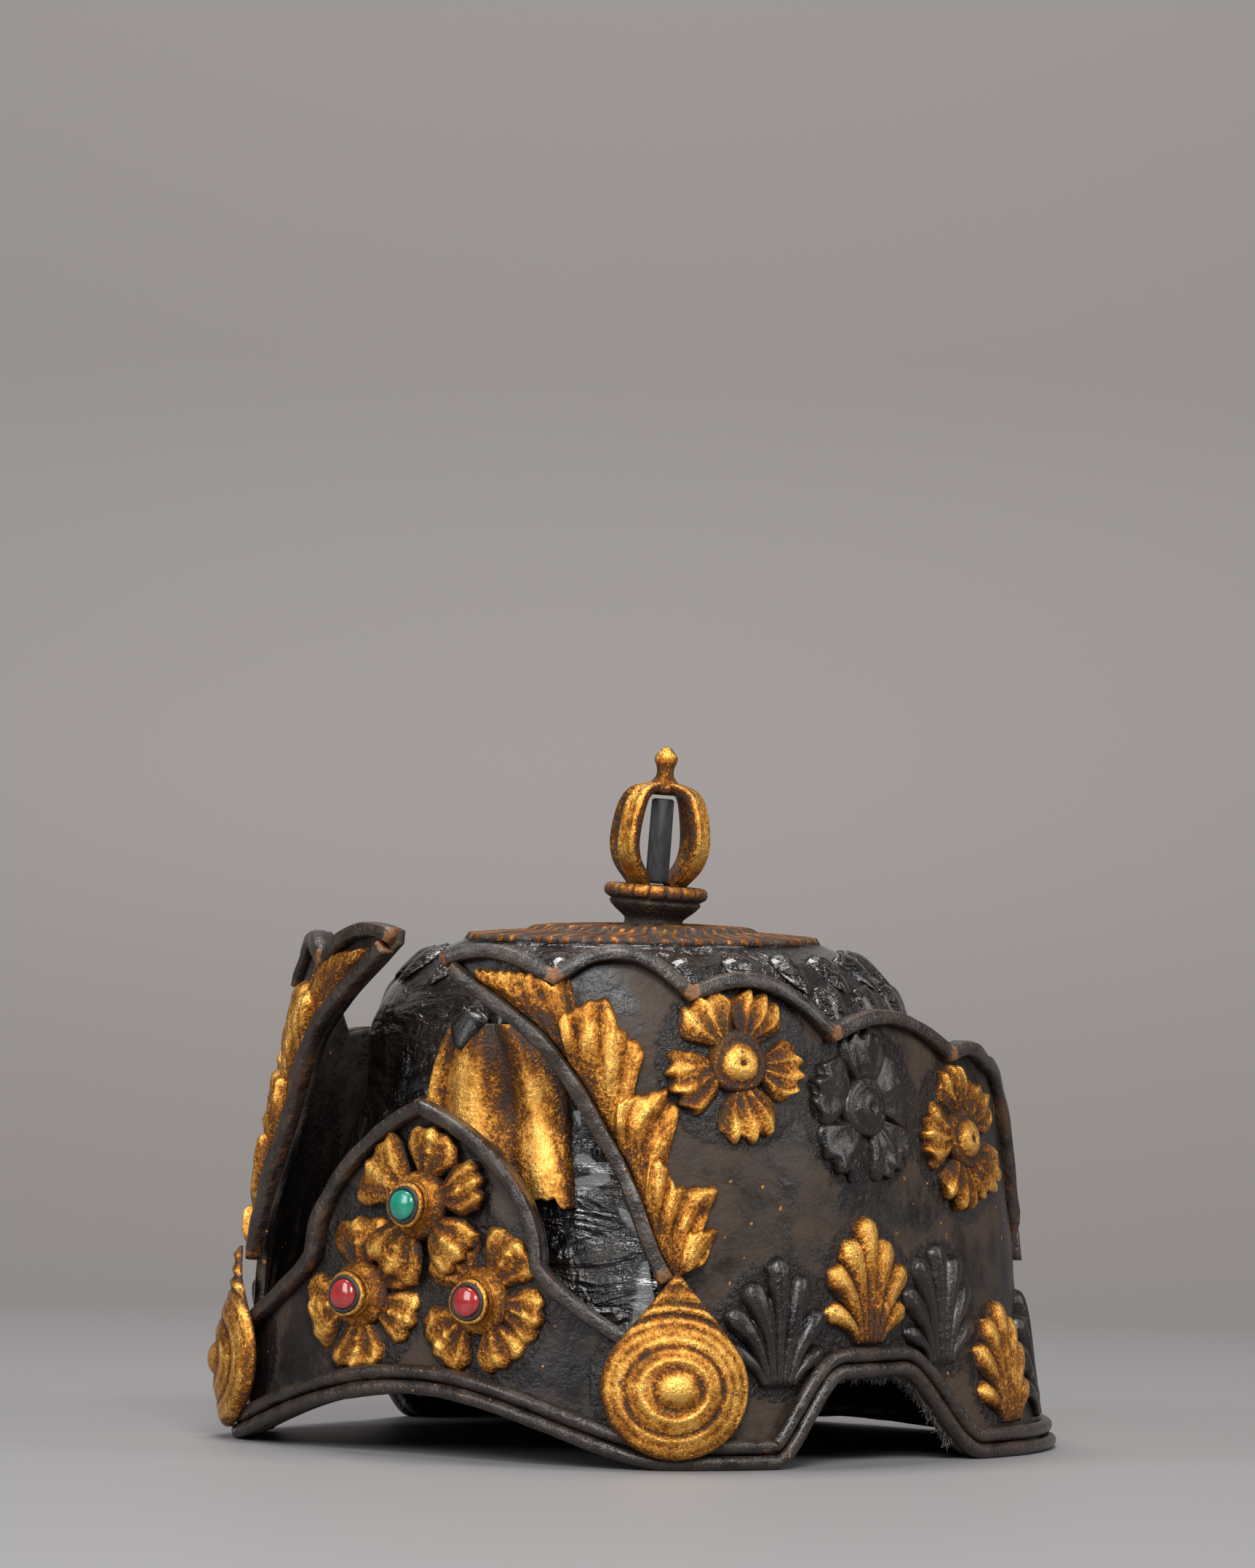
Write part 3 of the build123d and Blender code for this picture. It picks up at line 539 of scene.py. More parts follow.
class Made:
    """A node that has been added, with its outputs as fields."""

    def __init__(self, graph, node):
        self.graph = graph
        self.node = node

    def out(self, key):
        return Field(self.graph, self.node.outputs[key])


class Graph:
    """Adds nodes to a tree by type, settings and inputs."""

    def __init__(self, tree):
        self.tree = tree
        tree.nodes.clear()

    def node(self, kind, settings=None, inputs=None):
        node = self.tree.nodes.new(kind)
        for key, value in (settings or {}).items():
            if key == "stops":
                self.stops(node.color_ramp, value)
            else:
                setattr(node, key, value)
        for key, value in (inputs or {}).items():
            if isinstance(value, Field):
                self.tree.links.new(value.socket, node.inputs[key])
            else:
                node.inputs[key].default_value = value
        return Made(self, node)

    def stops(self, ramp, stops):
        while len(ramp.elements) > 1:
            ramp.elements.remove(ramp.elements[-1])
        for index, (place, colour) in enumerate(stops):
            element = ramp.elements[0] if index == 0 else ramp.elements.new(place)
            element.position = place
            element.color = (*colour, 1.0)

    def place(self, stretch=(1.0, 1.0, 1.0)):
        """Object coordinates in millimetres, stretched."""
        coordinates = self.node("ShaderNodeTexCoord").out("Object")
        scale = tuple(1000.0 * share for share in stretch)
        return self.node("ShaderNodeMapping", None, {"Vector": coordinates, "Scale": scale}).out(0)

    def noise(self, size, detail=3.0, roughness=0.55, stretch=(1.0, 1.0, 1.0), distortion=0.0):
        """Noise from 0 to 1 whose lumps are about a size in millimetres."""
        inputs = {
            "Vector": self.place(stretch),
            "Scale": 1.0 / size,
            "Detail": detail,
            "Roughness": roughness,
            "Distortion": distortion,
        }
        return self.node("ShaderNodeTexNoise", None, inputs).out("Fac")

    def cracks(self, size):
        """Distance to the edges of cells about a size in millimetres."""
        inputs = {"Vector": self.place(), "Scale": 1.0 / size}
        return self.node("ShaderNodeTexVoronoi", {"feature": "DISTANCE_TO_EDGE"}, inputs).out("Distance")

    def mark(self, title):
        return self.node("ShaderNodeAttribute", {"attribute_name": title}).out("Fac")

    def ramp(self, value, stops):
        return self.node("ShaderNodeValToRGB", {"stops": stops}, {0: value}).out("Color")

    def mix(self, share, first, second):
        """Colours mixed by a share."""
        settings = {"data_type": "RGBA", "blend_type": "MIX", "clamp_factor": True}
        first = first if isinstance(first, Field) else (*first, 1.0)
        second = second if isinstance(second, Field) else (*second, 1.0)
        return self.node("ShaderNodeMix", settings, {0: share, 6: first, 7: second}).out(2)

    def bump(self, height, distance, strength=1.0, normal=None):
        inputs = {"Height": height, "Distance": distance * MM, "Strength": strength}
        if normal:
            inputs["Normal"] = normal
        return self.node("ShaderNodeBump", None, inputs).out(0)

    def surface(self, clear=None, **inputs):
        """A Principled surface as the material's output, see-through by a share where one is given."""
        named = {key.replace("_", " "): value for key, value in inputs.items()}
        for key, value in named.items():
            if "Color" in key or "Tint" in key:
                named[key] = value if isinstance(value, Field) else (*value, 1.0)
        shader = self.node("ShaderNodeBsdfPrincipled", None, named).out(0)
        if clear:
            nothing = self.node("ShaderNodeBsdfTransparent").out(0)
            shader = self.node("ShaderNodeMixShader", None, {0: clear, 1: shader, 2: nothing}).out(0)
        self.node("ShaderNodeOutputMaterial", None, {0: shader})


def new_graph(name):
    """A new material and the graph of its nodes."""
    material = bpy.data.materials.new(name)
    material.use_nodes = True
    return material, Graph(material.node_tree)


def lacquer_material(name, finish, gloss=0.0, rub=1.0, ground=False):
    """Black lacquer over leather, rubbed brown in patches.

    Ground has thick, shiny lacquer near the relief, where painted shade also holds back the rubbed brown.
    """
    material, graph = new_graph(name)
    lift = graph.mark("lift")
    wear = graph.mark("wear")
    mottle = graph.noise(16.0, 5.0, 0.62)
    cloud = graph.noise(30.0, 4.0, 0.60)
    grain = graph.noise(0.9, 3.0, 0.6)
    crumbs = graph.noise(1.9, 4.0, 0.65)
    speck = graph.noise(0.55, 2.0, 0.7)
    near = (lift + 0.7 * (crumbs - 0.5)).step(0.30, 0.70) if ground else 0.35 * crumbs
    dim = 1.0 - 0.72 * gloss
    deep = [shade * dim for shade in finish.lacquer_deep]
    plain = [shade * dim for shade in finish.lacquer]
    dark = graph.mix(mottle.step(0.35, 0.7), deep, plain)
    # Where near is high the rubbed brown is held back, which keeps the lacquer dark: round the relief of
    # the ground this is painted shade, while on the panels' back faces and on the other lacquers it follows
    # random streaks and crumbs.
    rubbed = (cloud + 0.30 * (mottle - 0.5)).step(0.40, 0.60) * (0.95 * rub) * (1.0 - near)
    colour = graph.mix(rubbed, dark, finish.rubbed_leather)
    colour = graph.mix(speck.step(0.64, 0.74) * (0.4 * rub), colour, (0.10, 0.085, 0.070))
    colour = graph.mix((wear * (0.6 + grain)).step(0.35, 0.75), colour, finish.bare_leather)
    flecks = graph.noise(2.4, 1.0, 0.4)
    gold_fleck = flecks.step(0.745, 0.76) * graph.noise(26.0, 2.0).step(0.55, 0.62) * rub
    colour = graph.mix(gold_fleck, colour, finish.gold)
    rough = (0.38 - 0.26 * gloss) + 0.50 * (mottle - 0.5) + 0.28 * rubbed - 0.18 * near
    normal = graph.bump(grain, 0.18 - 0.10 * gloss, 0.8)
    normal = graph.bump(crumbs * (0.25 + 0.75 * near), 1.0, 0.9, normal)
    normal = graph.bump(graph.noise(5.0, 3.0, 0.5), 0.90, 0.8, normal)
    if gloss > 0.8:
        streak = graph.noise(7.0, 3.0, 0.5, (1.0, 1.0, 0.25), 0.4)
        wrinkle = graph.noise(12.0, 4.0, 0.5, (0.6, 0.6, 1.7), 0.8)
        normal = graph.bump(streak, 1.6, 1.0, normal)
        normal = graph.bump(wrinkle, 5.5, 1.0, normal)
    graph.surface(
        Base_Color=colour,
        Roughness=rough.clipped(),
        Normal=normal,
        IOR=1.40 + 0.12 * gloss,
        Coat_Weight=0.06 + 0.34 * gloss,
        Coat_Roughness=0.22 - 0.14 * gloss,
    )
    return material


def rim_material(finish):
    """Grey-brown rim lacquer, worn to orange leather at cusps and along its edges."""
    material, graph = new_graph("rim_lacquer")
    lift = graph.mark("lift")
    wear = graph.mark("wear")
    long_scratch = graph.noise(0.8, 3.0, 0.65, (1.0, 1.0, 0.35))
    mottle = graph.noise(7.0, 5.0, 0.6)
    grain = graph.noise(1.1, 3.0, 0.6)
    colour = graph.mix(mottle.step(0.3, 0.7), finish.rim_deep, finish.rim)
    patch = graph.noise(12.0, 5.0, 0.68).step(0.52, 0.62)
    edge = (1.0 - lift).step(0.30, 0.75) * patch * (0.1 + 1.0 * grain)
    colour = graph.mix(edge.clipped() * 0.70, colour, finish.bare_leather)
    bared = (wear * (0.10 + 1.2 * grain) + 0.6 * wear * mottle).step(0.50, 0.72)
    bare = graph.mix(grain.step(0.35, 0.65), finish.bare_leather, finish.bare_pale)
    colour = graph.mix(bared, colour, bare)
    fleck = graph.noise(1.6, 2.0, 0.5).step(0.70, 0.73) * graph.noise(30.0, 2.0).step(0.52, 0.62)
    colour = graph.mix(fleck * 0.8, colour, finish.gold)
    rough = 0.33 + 0.45 * (long_scratch - 0.5) + 0.45 * (mottle - 0.5) + 0.20 * bared
    normal = graph.bump(long_scratch, 0.30, 0.9)
    normal = graph.bump(graph.noise(3.2, 4.0, 0.6), 1.0, 0.9, normal)
    graph.surface(
        Base_Color=colour,
        Roughness=rough.clipped(),
        Normal=normal,
        IOR=1.5,
        Coat_Weight=0.16,
        Coat_Roughness=0.18,
    )
    return material


def gilding_material(name, finish, brown=0.0, metal=0.85):
    """Gold leaf over moulded putty, granular: bright on high spots as a painted highlight, red-brown to
    dark in hollows as painted shade along with dirt there.
    """
    material, graph = new_graph(name)
    lift = graph.mark("lift")
    wear = graph.mark("wear")
    grit = graph.noise(0.9, 3.0, 0.75)
    lumps = graph.noise(3.0, 5.0, 0.65)
    cloud = graph.noise(13.0, 4.0, 0.55)
    scratch = graph.noise(0.6, 2.0, 0.6, (1.0, 1.0, 0.22))
    rawness = 0.40 + 0.60 * (1.0 - lift.step(0.35, 0.80))
    # Lift in the tone paints shade into hollows and creases and a highlight onto high spots; the noises are
    # the gilding's own unevenness and dirt.
    tone = lift + 0.9 * (lumps - 0.5) + 1.9 * (grit - 0.5) * rawness + 1.1 * (cloud - 0.5) - 0.45 * brown
    stops = (
        (0.04, finish.gold_dirt_and_shade),
        (0.27, finish.gold_brown),
        (0.45, finish.gold_amber),
        (0.64, finish.gold),
        (0.95, finish.gold_pale),
    )
    colour = graph.ramp(tone.clipped(), stops)
    green = graph.noise(9.0, 2.0, 0.5).step(0.55, 0.72) * scratch.step(0.45, 0.6)
    colour = graph.mix(green * 0.40, colour, (0.20, 0.14, 0.030))
    chip = graph.noise(2.0, 2.0, 0.5).step(0.69, 0.73)
    chipped = (chip + (wear * (0.4 + lumps)).step(0.5, 0.7)).clipped()
    colour = graph.mix(chipped * 0.9, colour, finish.lacquer)
    metallic = (metal * tone.step(0.08, 0.42)) * (1.0 - chipped)
    rough = 0.24 + 0.26 * (1.0 - tone.clipped()) + 0.50 * (grit - 0.5) + 0.25 * (scratch - 0.5)
    normal = graph.bump(grit * rawness, 0.85, 1.0)
    normal = graph.bump(scratch, 0.10, 0.8, normal)
    normal = graph.bump(lumps, 0.70, 0.7, normal)
    graph.surface(
        Base_Color=colour,
        Metallic=metallic.clipped(),
        Roughness=rough.clipped(),
        Normal=normal,
        IOR=1.5,
    )
    return material


def rod_material():
    """Dull black wood."""
    material, graph = new_graph("dark_wood")
    grain = graph.noise(0.9, 4.0, 0.6, (1.0, 1.0, 0.25))
    colour = graph.mix(grain.step(0.3, 0.75), (0.010, 0.011, 0.012), (0.035, 0.036, 0.038))
    normal = graph.bump(grain, 0.16, 0.7)
    graph.surface(Base_Color=colour, Roughness=(0.45 + 0.3 * grain).clipped(), Normal=normal, IOR=1.5)
    return material


def stone_material(name, tone, vein, gloss):
    """Polished stone with fine dark cracks and a worn spot."""
    material, graph = new_graph(name)
    cloud = graph.noise(2.6, 3.0, 0.55)
    crack = graph.cracks(1.7)
    thread = (1.0 - crack.step(0.0, 0.055)) * graph.noise(2.2, 2.0).step(0.5, 0.62)
    colour = graph.mix(cloud.step(0.32, 0.68), tone, [shade * 0.72 for shade in tone])
    colour = graph.mix(thread * 0.85, colour, vein)
    chip = graph.noise(1.5, 2.0).step(0.71, 0.74)
    colour = graph.mix(chip, colour, (0.03, 0.015, 0.015))
    normal = graph.bump(graph.noise(1.3, 2.0), 0.06, 0.5)
    rough = (gloss + 0.25 * thread + 0.10 * (cloud - 0.5)).clipped()
    graph.surface(
        Base_Color=colour,
        Roughness=rough,
        Normal=normal,
        IOR=1.56,
        Coat_Weight=0.5,
        Coat_Roughness=0.08,
    )
    return material


def bezel_material():
    """Blackened metal of the settings."""
    material, graph = new_graph("bezel")
    grit = graph.noise(0.6, 3.0, 0.7)
    colour = graph.mix(grit.step(0.3, 0.7), (0.012, 0.011, 0.011), (0.05, 0.042, 0.036))
    normal = graph.bump(grit, 0.12, 0.8)
    graph.surface(Base_Color=colour, Metallic=0.3, Roughness=(0.4 + 0.2 * grit).clipped(), Normal=normal)
    return material


def fibre_material():
    """Raw leather fibres."""
    material, graph = new_graph("raw_fibre")
    tone = graph.noise(3.0, 2.0)
    colour = graph.mix(tone.step(0.35, 0.65), (0.016, 0.013, 0.011), (0.10, 0.085, 0.070))
    graph.surface(Base_Color=colour, Roughness=0.9, Sheen_Weight=0.4, Sheen_Roughness=0.6)
    return material


def floor_material(finish):
    """Plain pale floor that turns to the warmer grey of the backdrop, which hides nothing from behind."""
    material, graph = new_graph("studio_floor")
    place = graph.node("ShaderNodeTexCoord").out("Object")
    away = graph.node("ShaderNodeSeparateXYZ", None, {0: place}).out(1)
    share = away.step(finish.floor_end - 0.12, finish.floor_end + 0.16)
    tone = graph.noise(900.0, 2.0)
    floor = graph.mix(tone, finish.floor, tuple(shade * 0.96 for shade in finish.floor))
    colour = graph.mix(share, floor, finish.backdrop)
    behind = graph.node("ShaderNodeNewGeometry").out("Backfacing")
    graph.surface(behind, Base_Color=colour, Roughness=0.55, IOR=1.45)
    return material


MATERIALS = {}


def material(name):
    """A finish of the crown, made when it is first asked for."""
    if name not in MATERIALS:
        finish = bpy.context.scene.crown_finish
        makers = {
            "lacquer": lambda: lacquer_material("lacquer", finish, ground=True),
            "cap_lacquer": lambda: lacquer_material("cap_lacquer", finish, 1.0, 0.25),
            "moulded_lacquer": lambda: lacquer_material("moulded_lacquer", finish, 0.40, 0.25),
            "rim_lacquer": lambda: rim_material(finish),
            "gilding": lambda: gilding_material("gilding", finish),
            "gilt_metal": lambda: gilding_material("gilt_metal", finish, 0.12, 0.95),
            "rubbed_gilding": lambda: gilding_material("rubbed_gilding", finish, 0.9, 0.7),
            "dark_wood": rod_material,
            "turquoise": lambda: stone_material("turquoise", finish.turquoise, (0.02, 0.045, 0.035), 0.22),
            "coral": lambda: stone_material("coral", finish.coral, (0.10, 0.015, 0.015), 0.14),
            "bezel": bezel_material,
            "raw_fibre": fibre_material,
            "studio_floor": lambda: floor_material(finish),
        }
        MATERIALS[name] = makers[name]()
    return MATERIALS[name]


# Settings


def length(name, description, default, top):
    """A length in metres that a user may change."""
    return FloatProperty(
        name=name, description=description, default=default, min=0.0, max=top, unit="LENGTH", precision=4
    )


def colour(name, description, default):
    """A colour that a user may change."""
    return FloatVectorProperty(
        name=name, description=description, default=default, size=3, min=0.0, max=1.0, subtype="COLOR"
    )


class CrownSizes(bpy.types.PropertyGroup):
    """Sizes of the crown's trim and relief."""

    rim_width: length("Rim width", "Width of the panel rims", 0.0042, 0.01)
    rim_depth: length("Rim depth", "How far the rims stand off the panels", 0.0036, 0.01)
    cord_radius: length("Cord radius", "Radius of the two cords of the hem", 0.00205, 0.006)
    dent: length("Dents", "Depth of the hand-made dents in the leather", 0.00035, 0.002)
    petal_ridge: length("Petal ridges", "Height of the ridges on the petals", 0.0005, 0.002)
    fibre_length: length("Fibre length", "Length of the raw fibres under the ear notches", 0.0022, 0.01)
    scales: IntProperty(
        name="Scales",
        description="Leaf scales in each row round the cap's shoulder",
        default=22,
        min=8,
        max=40,
    )


class CrownFinish(bpy.types.PropertyGroup):
    """Colours of the crown's finishes and of its stage."""

    lacquer: colour("Lacquer", "Black lacquer", (0.018, 0.0130, 0.0112))
    lacquer_deep: colour("Deep lacquer", "Lacquer in darker patches", (0.0060, 0.0045, 0.0042))
    rubbed_leather: colour("Rubbed leather", "Brown where the lacquer is rubbed", (0.049, 0.032, 0.021))
    bare_leather: colour(
        "Bare leather", "Orange-brown leather where the lacquer is gone", (0.145, 0.052, 0.016)
    )
    bare_pale: colour("Pale bare leather", "Paler grain of the bare leather", (0.21, 0.088, 0.028))
    rim: colour("Rim", "Grey-brown lacquer of the rims", (0.040, 0.0265, 0.0190))
    rim_deep: colour("Deep rim", "Darker lacquer of the rims", (0.0115, 0.0080, 0.0062))
    # The gold stops are laid by lift: the darkest ones paint shade into hollows and creases, along with
    # dirt and red-brown ground there, and pale gold paints a highlight onto the highest spots.
    gold: colour("Gold", "Gold leaf", (0.47, 0.185, 0.025))
    gold_pale: colour("Pale gold", "Gold leaf on the highest spots", (0.83, 0.45, 0.100))
    gold_amber: colour("Amber gold", "Gold on the slopes", (0.22, 0.074, 0.012))
    gold_brown: colour("Brown gold", "Red-brown ground near the hollows", (0.080, 0.027, 0.007))
    # Darkest gold stop: dirt and painted shade in hollows and creases.
    gold_dirt_and_shade: colour("Hollows", "Dark dirt in the hollows", (0.016, 0.0075, 0.0040))
    turquoise: colour("Turquoise", "Top stone", (0.010, 0.26, 0.17))
    coral: colour("Coral", "Lower stones", (0.40, 0.030, 0.030))
    floor: colour("Floor", "Plain pale floor", (0.204, 0.200, 0.205))
    backdrop: colour("Backdrop", "Warm grey backdrop", (0.193, 0.178, 0.172))
    floor_end: length("Floor end", "Where the floor turns to the backdrop, behind the crown", 0.62, 3.0)


# Panels, rims and cords


def closeness(turns, heights):
    """How near places of the wall are to the moulded relief, from 0 to 1."""
    close = np.zeros(np.broadcast(turns, heights).shape)
    spots = [(turn, share * WALL[2], 20.0) for _, turn, share, _ in SIDE_FLOWERS]
    spots += [(turn, height, 19.0) for _, turn, height, _, _ in FRONT_FLOWERS]
    for side in (-1, 1):
        spots += [(side * turn, share * WALL[2] + 14.0, 15.5) for _, turn, share in PALMETTES]
        spots.append((side * 43.5, 24.0, 19.0))
    for turn, height, radius in spots:
        away = (turns - turn + 180.0) % 360.0 - 180.0
        distance = np.hypot(away * degree_length(turns, heights), heights - height)
        close = np.maximum(close, smooth((radius + 7.0 - distance) / 7.0))
    return close


def leather(turns, heights, out, seed, depth):
    """Points of the wall with hand-made dents."""
    points = on_wall(turns, heights, out)
    dents = wander(points, 34.0, seed) + 0.5 * wander(points, 13.0, seed + 1)
    return on_wall(turns, heights, out + depth * dents)


def panel_shell(low_turns, lows, high_turns, highs, seed, depth, rows=44):
    """A leather panel between the lower and the upper end of each column."""
    share = smooth(np.linspace(0.0, 1.0, rows)) * 0.4 + np.linspace(0.0, 1.0, rows) * 0.6
    turns = low_turns[:, None] + (high_turns - low_turns)[:, None] * share
    heights = lows[:, None] + (highs - lows)[:, None] * share
    front = leather(turns, heights, 0.0, seed, depth)
    back = leather(turns, heights, -PANEL_THICKNESS, seed, depth)
    streaks = np.clip(0.40 + 0.55 * wander(back * np.array([1.0, 1.0, 0.3]), 11.0, seed + 5), 0.0, 1.0)
    # The front face's lift is closeness to the relief, which in the ground lacquer paints shade round the
    # relief.
    return slab(front, back, lift=closeness(turns, heights), under=streaks)


def side_columns(side):
    """Lower and upper ends of a side panel's columns, from its front edge to its rear seam."""
    seam = FRONT_SEAM + 0.1
    turns, tops, _ = top_edge(side)
    tops = tops - 0.5
    ahead = turns < seam
    last = int(ahead.sum())
    steps = (np.arange(10) + 0.5) / 10.0
    mid_turns = turns[last - 1] + (turns[last] - turns[last - 1]) * steps
    mid_tops = np.interp(mid_turns, turns, tops)
    foot = float(hem_height(seam)) + 0.6
    mid_lows = FRONT_FOOT + (foot - FRONT_FOOT) * smooth(steps)
    low_turns = np.concatenate([turns[:last], np.full(10, seam), turns[last:]])
    lows = np.concatenate([front_edge(turns[:last], side) + 0.4, mid_lows, hem_height(turns[last:]) + 0.6])
    high_turns = np.concatenate([turns[:last], mid_turns, turns[last:]])
    highs = np.concatenate([tops[:last], mid_tops, tops[last:]])
    return side * low_turns, lows, side * high_turns, highs


RIM_SECTION = (
    (-1.00, -0.10), (-1.00, 0.58), (-0.97, 0.70), (-0.80, 0.95), (-0.71, 1.00), (0.0, 0.99), (0.71, 1.00),
    (0.80, 0.95), (0.97, 0.70), (1.00, 0.58), (1.00, -0.10),
)


def rim_shell(turns, heights, wear, inset, sizes, seed, thinned=False):
    """A worn bar along an edge, at an inset from its path, thinned where it meets the rear seam."""
    width = sizes.rim_width / MM
    depth = sizes.rim_depth / MM
    sections = []
    lifts = []
    wobble = wander(on_wall(turns, heights), 12.0, seed) * 0.07
    thin = 0.08 + 0.92 * smooth((heights - REAR_FOOT + 0.5) / 16.0) if thinned else 1.0
    for side, out in RIM_SECTION:
        line = shifted(turns, heights, inset + side * width / 2.0 * (1.0 + wobble) * thin)
        sections.append(on_wall(line[0], line[1], out * depth * (1.0 + 1.6 * wobble) * thin))
        lifts.append(np.full(len(turns), 1.0 - abs(side) ** 3))
    wear = np.broadcast_to(wear, (len(RIM_SECTION), len(turns)))
    return bar(np.stack(sections, 1), np.stack(lifts, 1), wear.T)


def finer(turns, heights, parts):
    """A path with more points along it."""
    keys = np.arange(len(turns))
    fine = np.linspace(0, len(turns) - 1, (len(turns) - 1) * parts + 1)
    return np.interp(fine, keys, turns), np.interp(fine, keys, heights)


class CROWN_OT_panels(bpy.types.Operator):
    """Make the front, side and back leather panels"""

    bl_idname = "crown.panels"
    bl_label = "Panels"

    def execute(self, context):
        depth = context.scene.crown_sizes.dent / MM
        for side, name in ((1, "right"), (-1, "left")):
            shell = panel_shell(*side_columns(side), 11 + side, depth)
            make_piece(name + "_panel_look", [shell], "lacquer")
        turns, tops, _ = front_arch()
        shell = panel_shell(turns, hem_height(turns) + 0.6, turns, tops - 0.5, 21, depth)
        make_piece("front_panel_look", [shell], "lacquer")
        turns, tops, _ = back_arch()
        turns, tops = finer(turns, tops, 2)
        shell = panel_shell(turns, hem_height(turns) + 0.6, turns, tops - 0.5, 31, depth)
        make_piece("back_panel_look", [shell], "lacquer")
        return {"FINISHED"}


class CROWN_OT_rims(bpy.types.Operator):
    """Make the worn rims on the edges of the panels"""

    bl_idname = "crown.rims"
    bl_label = "Rims"

    def execute(self, context):
        sizes = context.scene.crown_sizes
        half = sizes.rim_width / MM / 2.0
        for side, name in ((1, "right"), (-1, "left")):
            turns, heights, wear = top_edge(side)
            shell = rim_shell(side * turns, heights, wear, side * half, sizes, 5, True)
            make_piece(name + "_top_rim_look", [shell], "rim_lacquer")
            turns = np.linspace(TIP_TURN + 1.2, FRONT_SEAM, 90)
            heights = front_edge(turns, side)
            wear = 1.2 * np.exp(-(((turns - TIP_TURN) / 1.8) ** 2))
            wear = wear + 0.7 * np.exp(-(((turns - 41.0) / 1.2) ** 2))
            shell = rim_shell(side * turns, heights, wear, -side * half, sizes, 6)
            make_piece(name + "_front_rim_look", [shell], "rim_lacquer")
        turns, heights, wear = front_arch()
        shell = rim_shell(turns, heights, wear, half, sizes, 7)
        make_piece("front_arch_rim_look", [shell], "rim_lacquer")
        turns, heights, wear = back_arch()
        shell = rim_shell(turns, heights, wear, half, sizes, 8)
        make_piece("back_arch_rim_look", [shell], "rim_lacquer")
        return {"FINISHED"}


# Geometry Nodes


def new_tree(name, inputs):
    """A geometry tree with a geometry input and named inputs for its sizes."""
    tree = bpy.data.node_groups.new(name, "GeometryNodeTree")
    tree.interface.new_socket("Geometry", in_out="OUTPUT", socket_type="NodeSocketGeometry")
    tree.interface.new_socket("Geometry", in_out="INPUT", socket_type="NodeSocketGeometry")
    for title, kind in inputs:
        tree.interface.new_socket(title, in_out="INPUT", socket_type=kind)
    graph = Graph(tree)
    given = graph.node("NodeGroupInput")
    return tree, graph, given


def end_tree(graph, geometry, finish):
    """Closes a tree with Realize Instances and Set Material."""
    real = graph.node("GeometryNodeRealizeInstances", None, {0: geometry}).out(0)
    shaded = graph.node("GeometryNodeSetShadeSmooth", None, {0: real}).out(0)
    painted = graph.node("GeometryNodeSetMaterial", None, {0: shaded, "Material": finish}).out(0)
    graph.node("NodeGroupOutput", None, {0: painted})


def grow(name, points, edges, tree, values, nodes, slot, facing=None):
    """Runs a geometry tree over points in millimetres and keeps its result as a plain piece."""
    mesh = bpy.data.meshes.new(name + "_points")
    mesh.from_pydata((np.asarray(points) * MM + SHIFT).tolist(), edges, [])
    if facing is not None:
        layer = mesh.attributes.new("facing", "FLOAT_VECTOR", "POINT")
        layer.data.foreach_set("vector", np.asarray(facing, np.float32).ravel())
    seed = bpy.data.objects.new(name + "_points", mesh)
    bpy.context.scene.collection.objects.link(seed)
    modifier = seed.modifiers.new("grow", "NODES")
    modifier.node_group = tree
    for item in tree.interface.items_tree:
        if item.item_type == "SOCKET" and item.in_out == "INPUT" and item.name in values:
            modifier[item.identifier] = values[item.name]
    view = bpy.context.evaluated_depsgraph_get()
    made = bpy.data.meshes.new_from_object(seed.evaluated_get(view), depsgraph=view)
    seed.modifiers.clear()
    bpy.data.objects.remove(seed)
    if len(made.polygons) == 0:
        raise RuntimeError(name + " came out empty")
    made.name = name
    for title, value in (("lift", 0.6), ("wear", 0.0)):
        if title not in made.attributes:
            layer = made.attributes.new(title, "FLOAT", "POINT")
            layer.data.foreach_set("value", np.full(len(made.vertices), value, np.float32))
    tidy = bmesh.new()
    tidy.from_mesh(made)
    bmesh.ops.remove_doubles(tidy, verts=tidy.verts, dist=1e-7)
    bmesh.ops.recalc_face_normals(tidy, faces=tidy.faces)
    tidy.to_mesh(made)
    tidy.free()
    piece = bpy.data.objects.new(name, made)
    bpy.context.scene.collection.objects.link(piece)
    seat_piece(piece, nodes, slot)


def cord_tree():
    """A hand-rolled cord along a path."""
    sizes = (("Radius", "NodeSocketFloat"), ("Finish", "NodeSocketMaterial"), ("Sides", "NodeSocketInt"))
    tree, graph, given = new_tree("Rolled cord", sizes)
    curve = graph.node("GeometryNodeMeshToCurve", None, {0: given.out(0)}).out(0)
    place = graph.node("GeometryNodeInputPosition").out(0)
    noise = graph.node("ShaderNodeTexNoise", None, {"Vector": place, "Scale": 80.0, "Detail": 2.0}).out(0)
    radius = given.out("Radius") * (0.76 + 0.46 * noise)
    curve = graph.node("GeometryNodeSetCurveRadius", None, {"Curve": curve, "Radius": radius}).out(0)
    ring = graph.node(
        "GeometryNodeCurvePrimitiveCircle", None, {"Resolution": given.out("Sides"), "Radius": 1.0}
    ).out(0)
    tube = graph.node(
        "GeometryNodeCurveToMesh", None, {"Curve": curve, "Profile Curve": ring, "Scale": radius}
    ).out(0)
    end_tree(graph, tube, given.out("Finish"))
    return tree


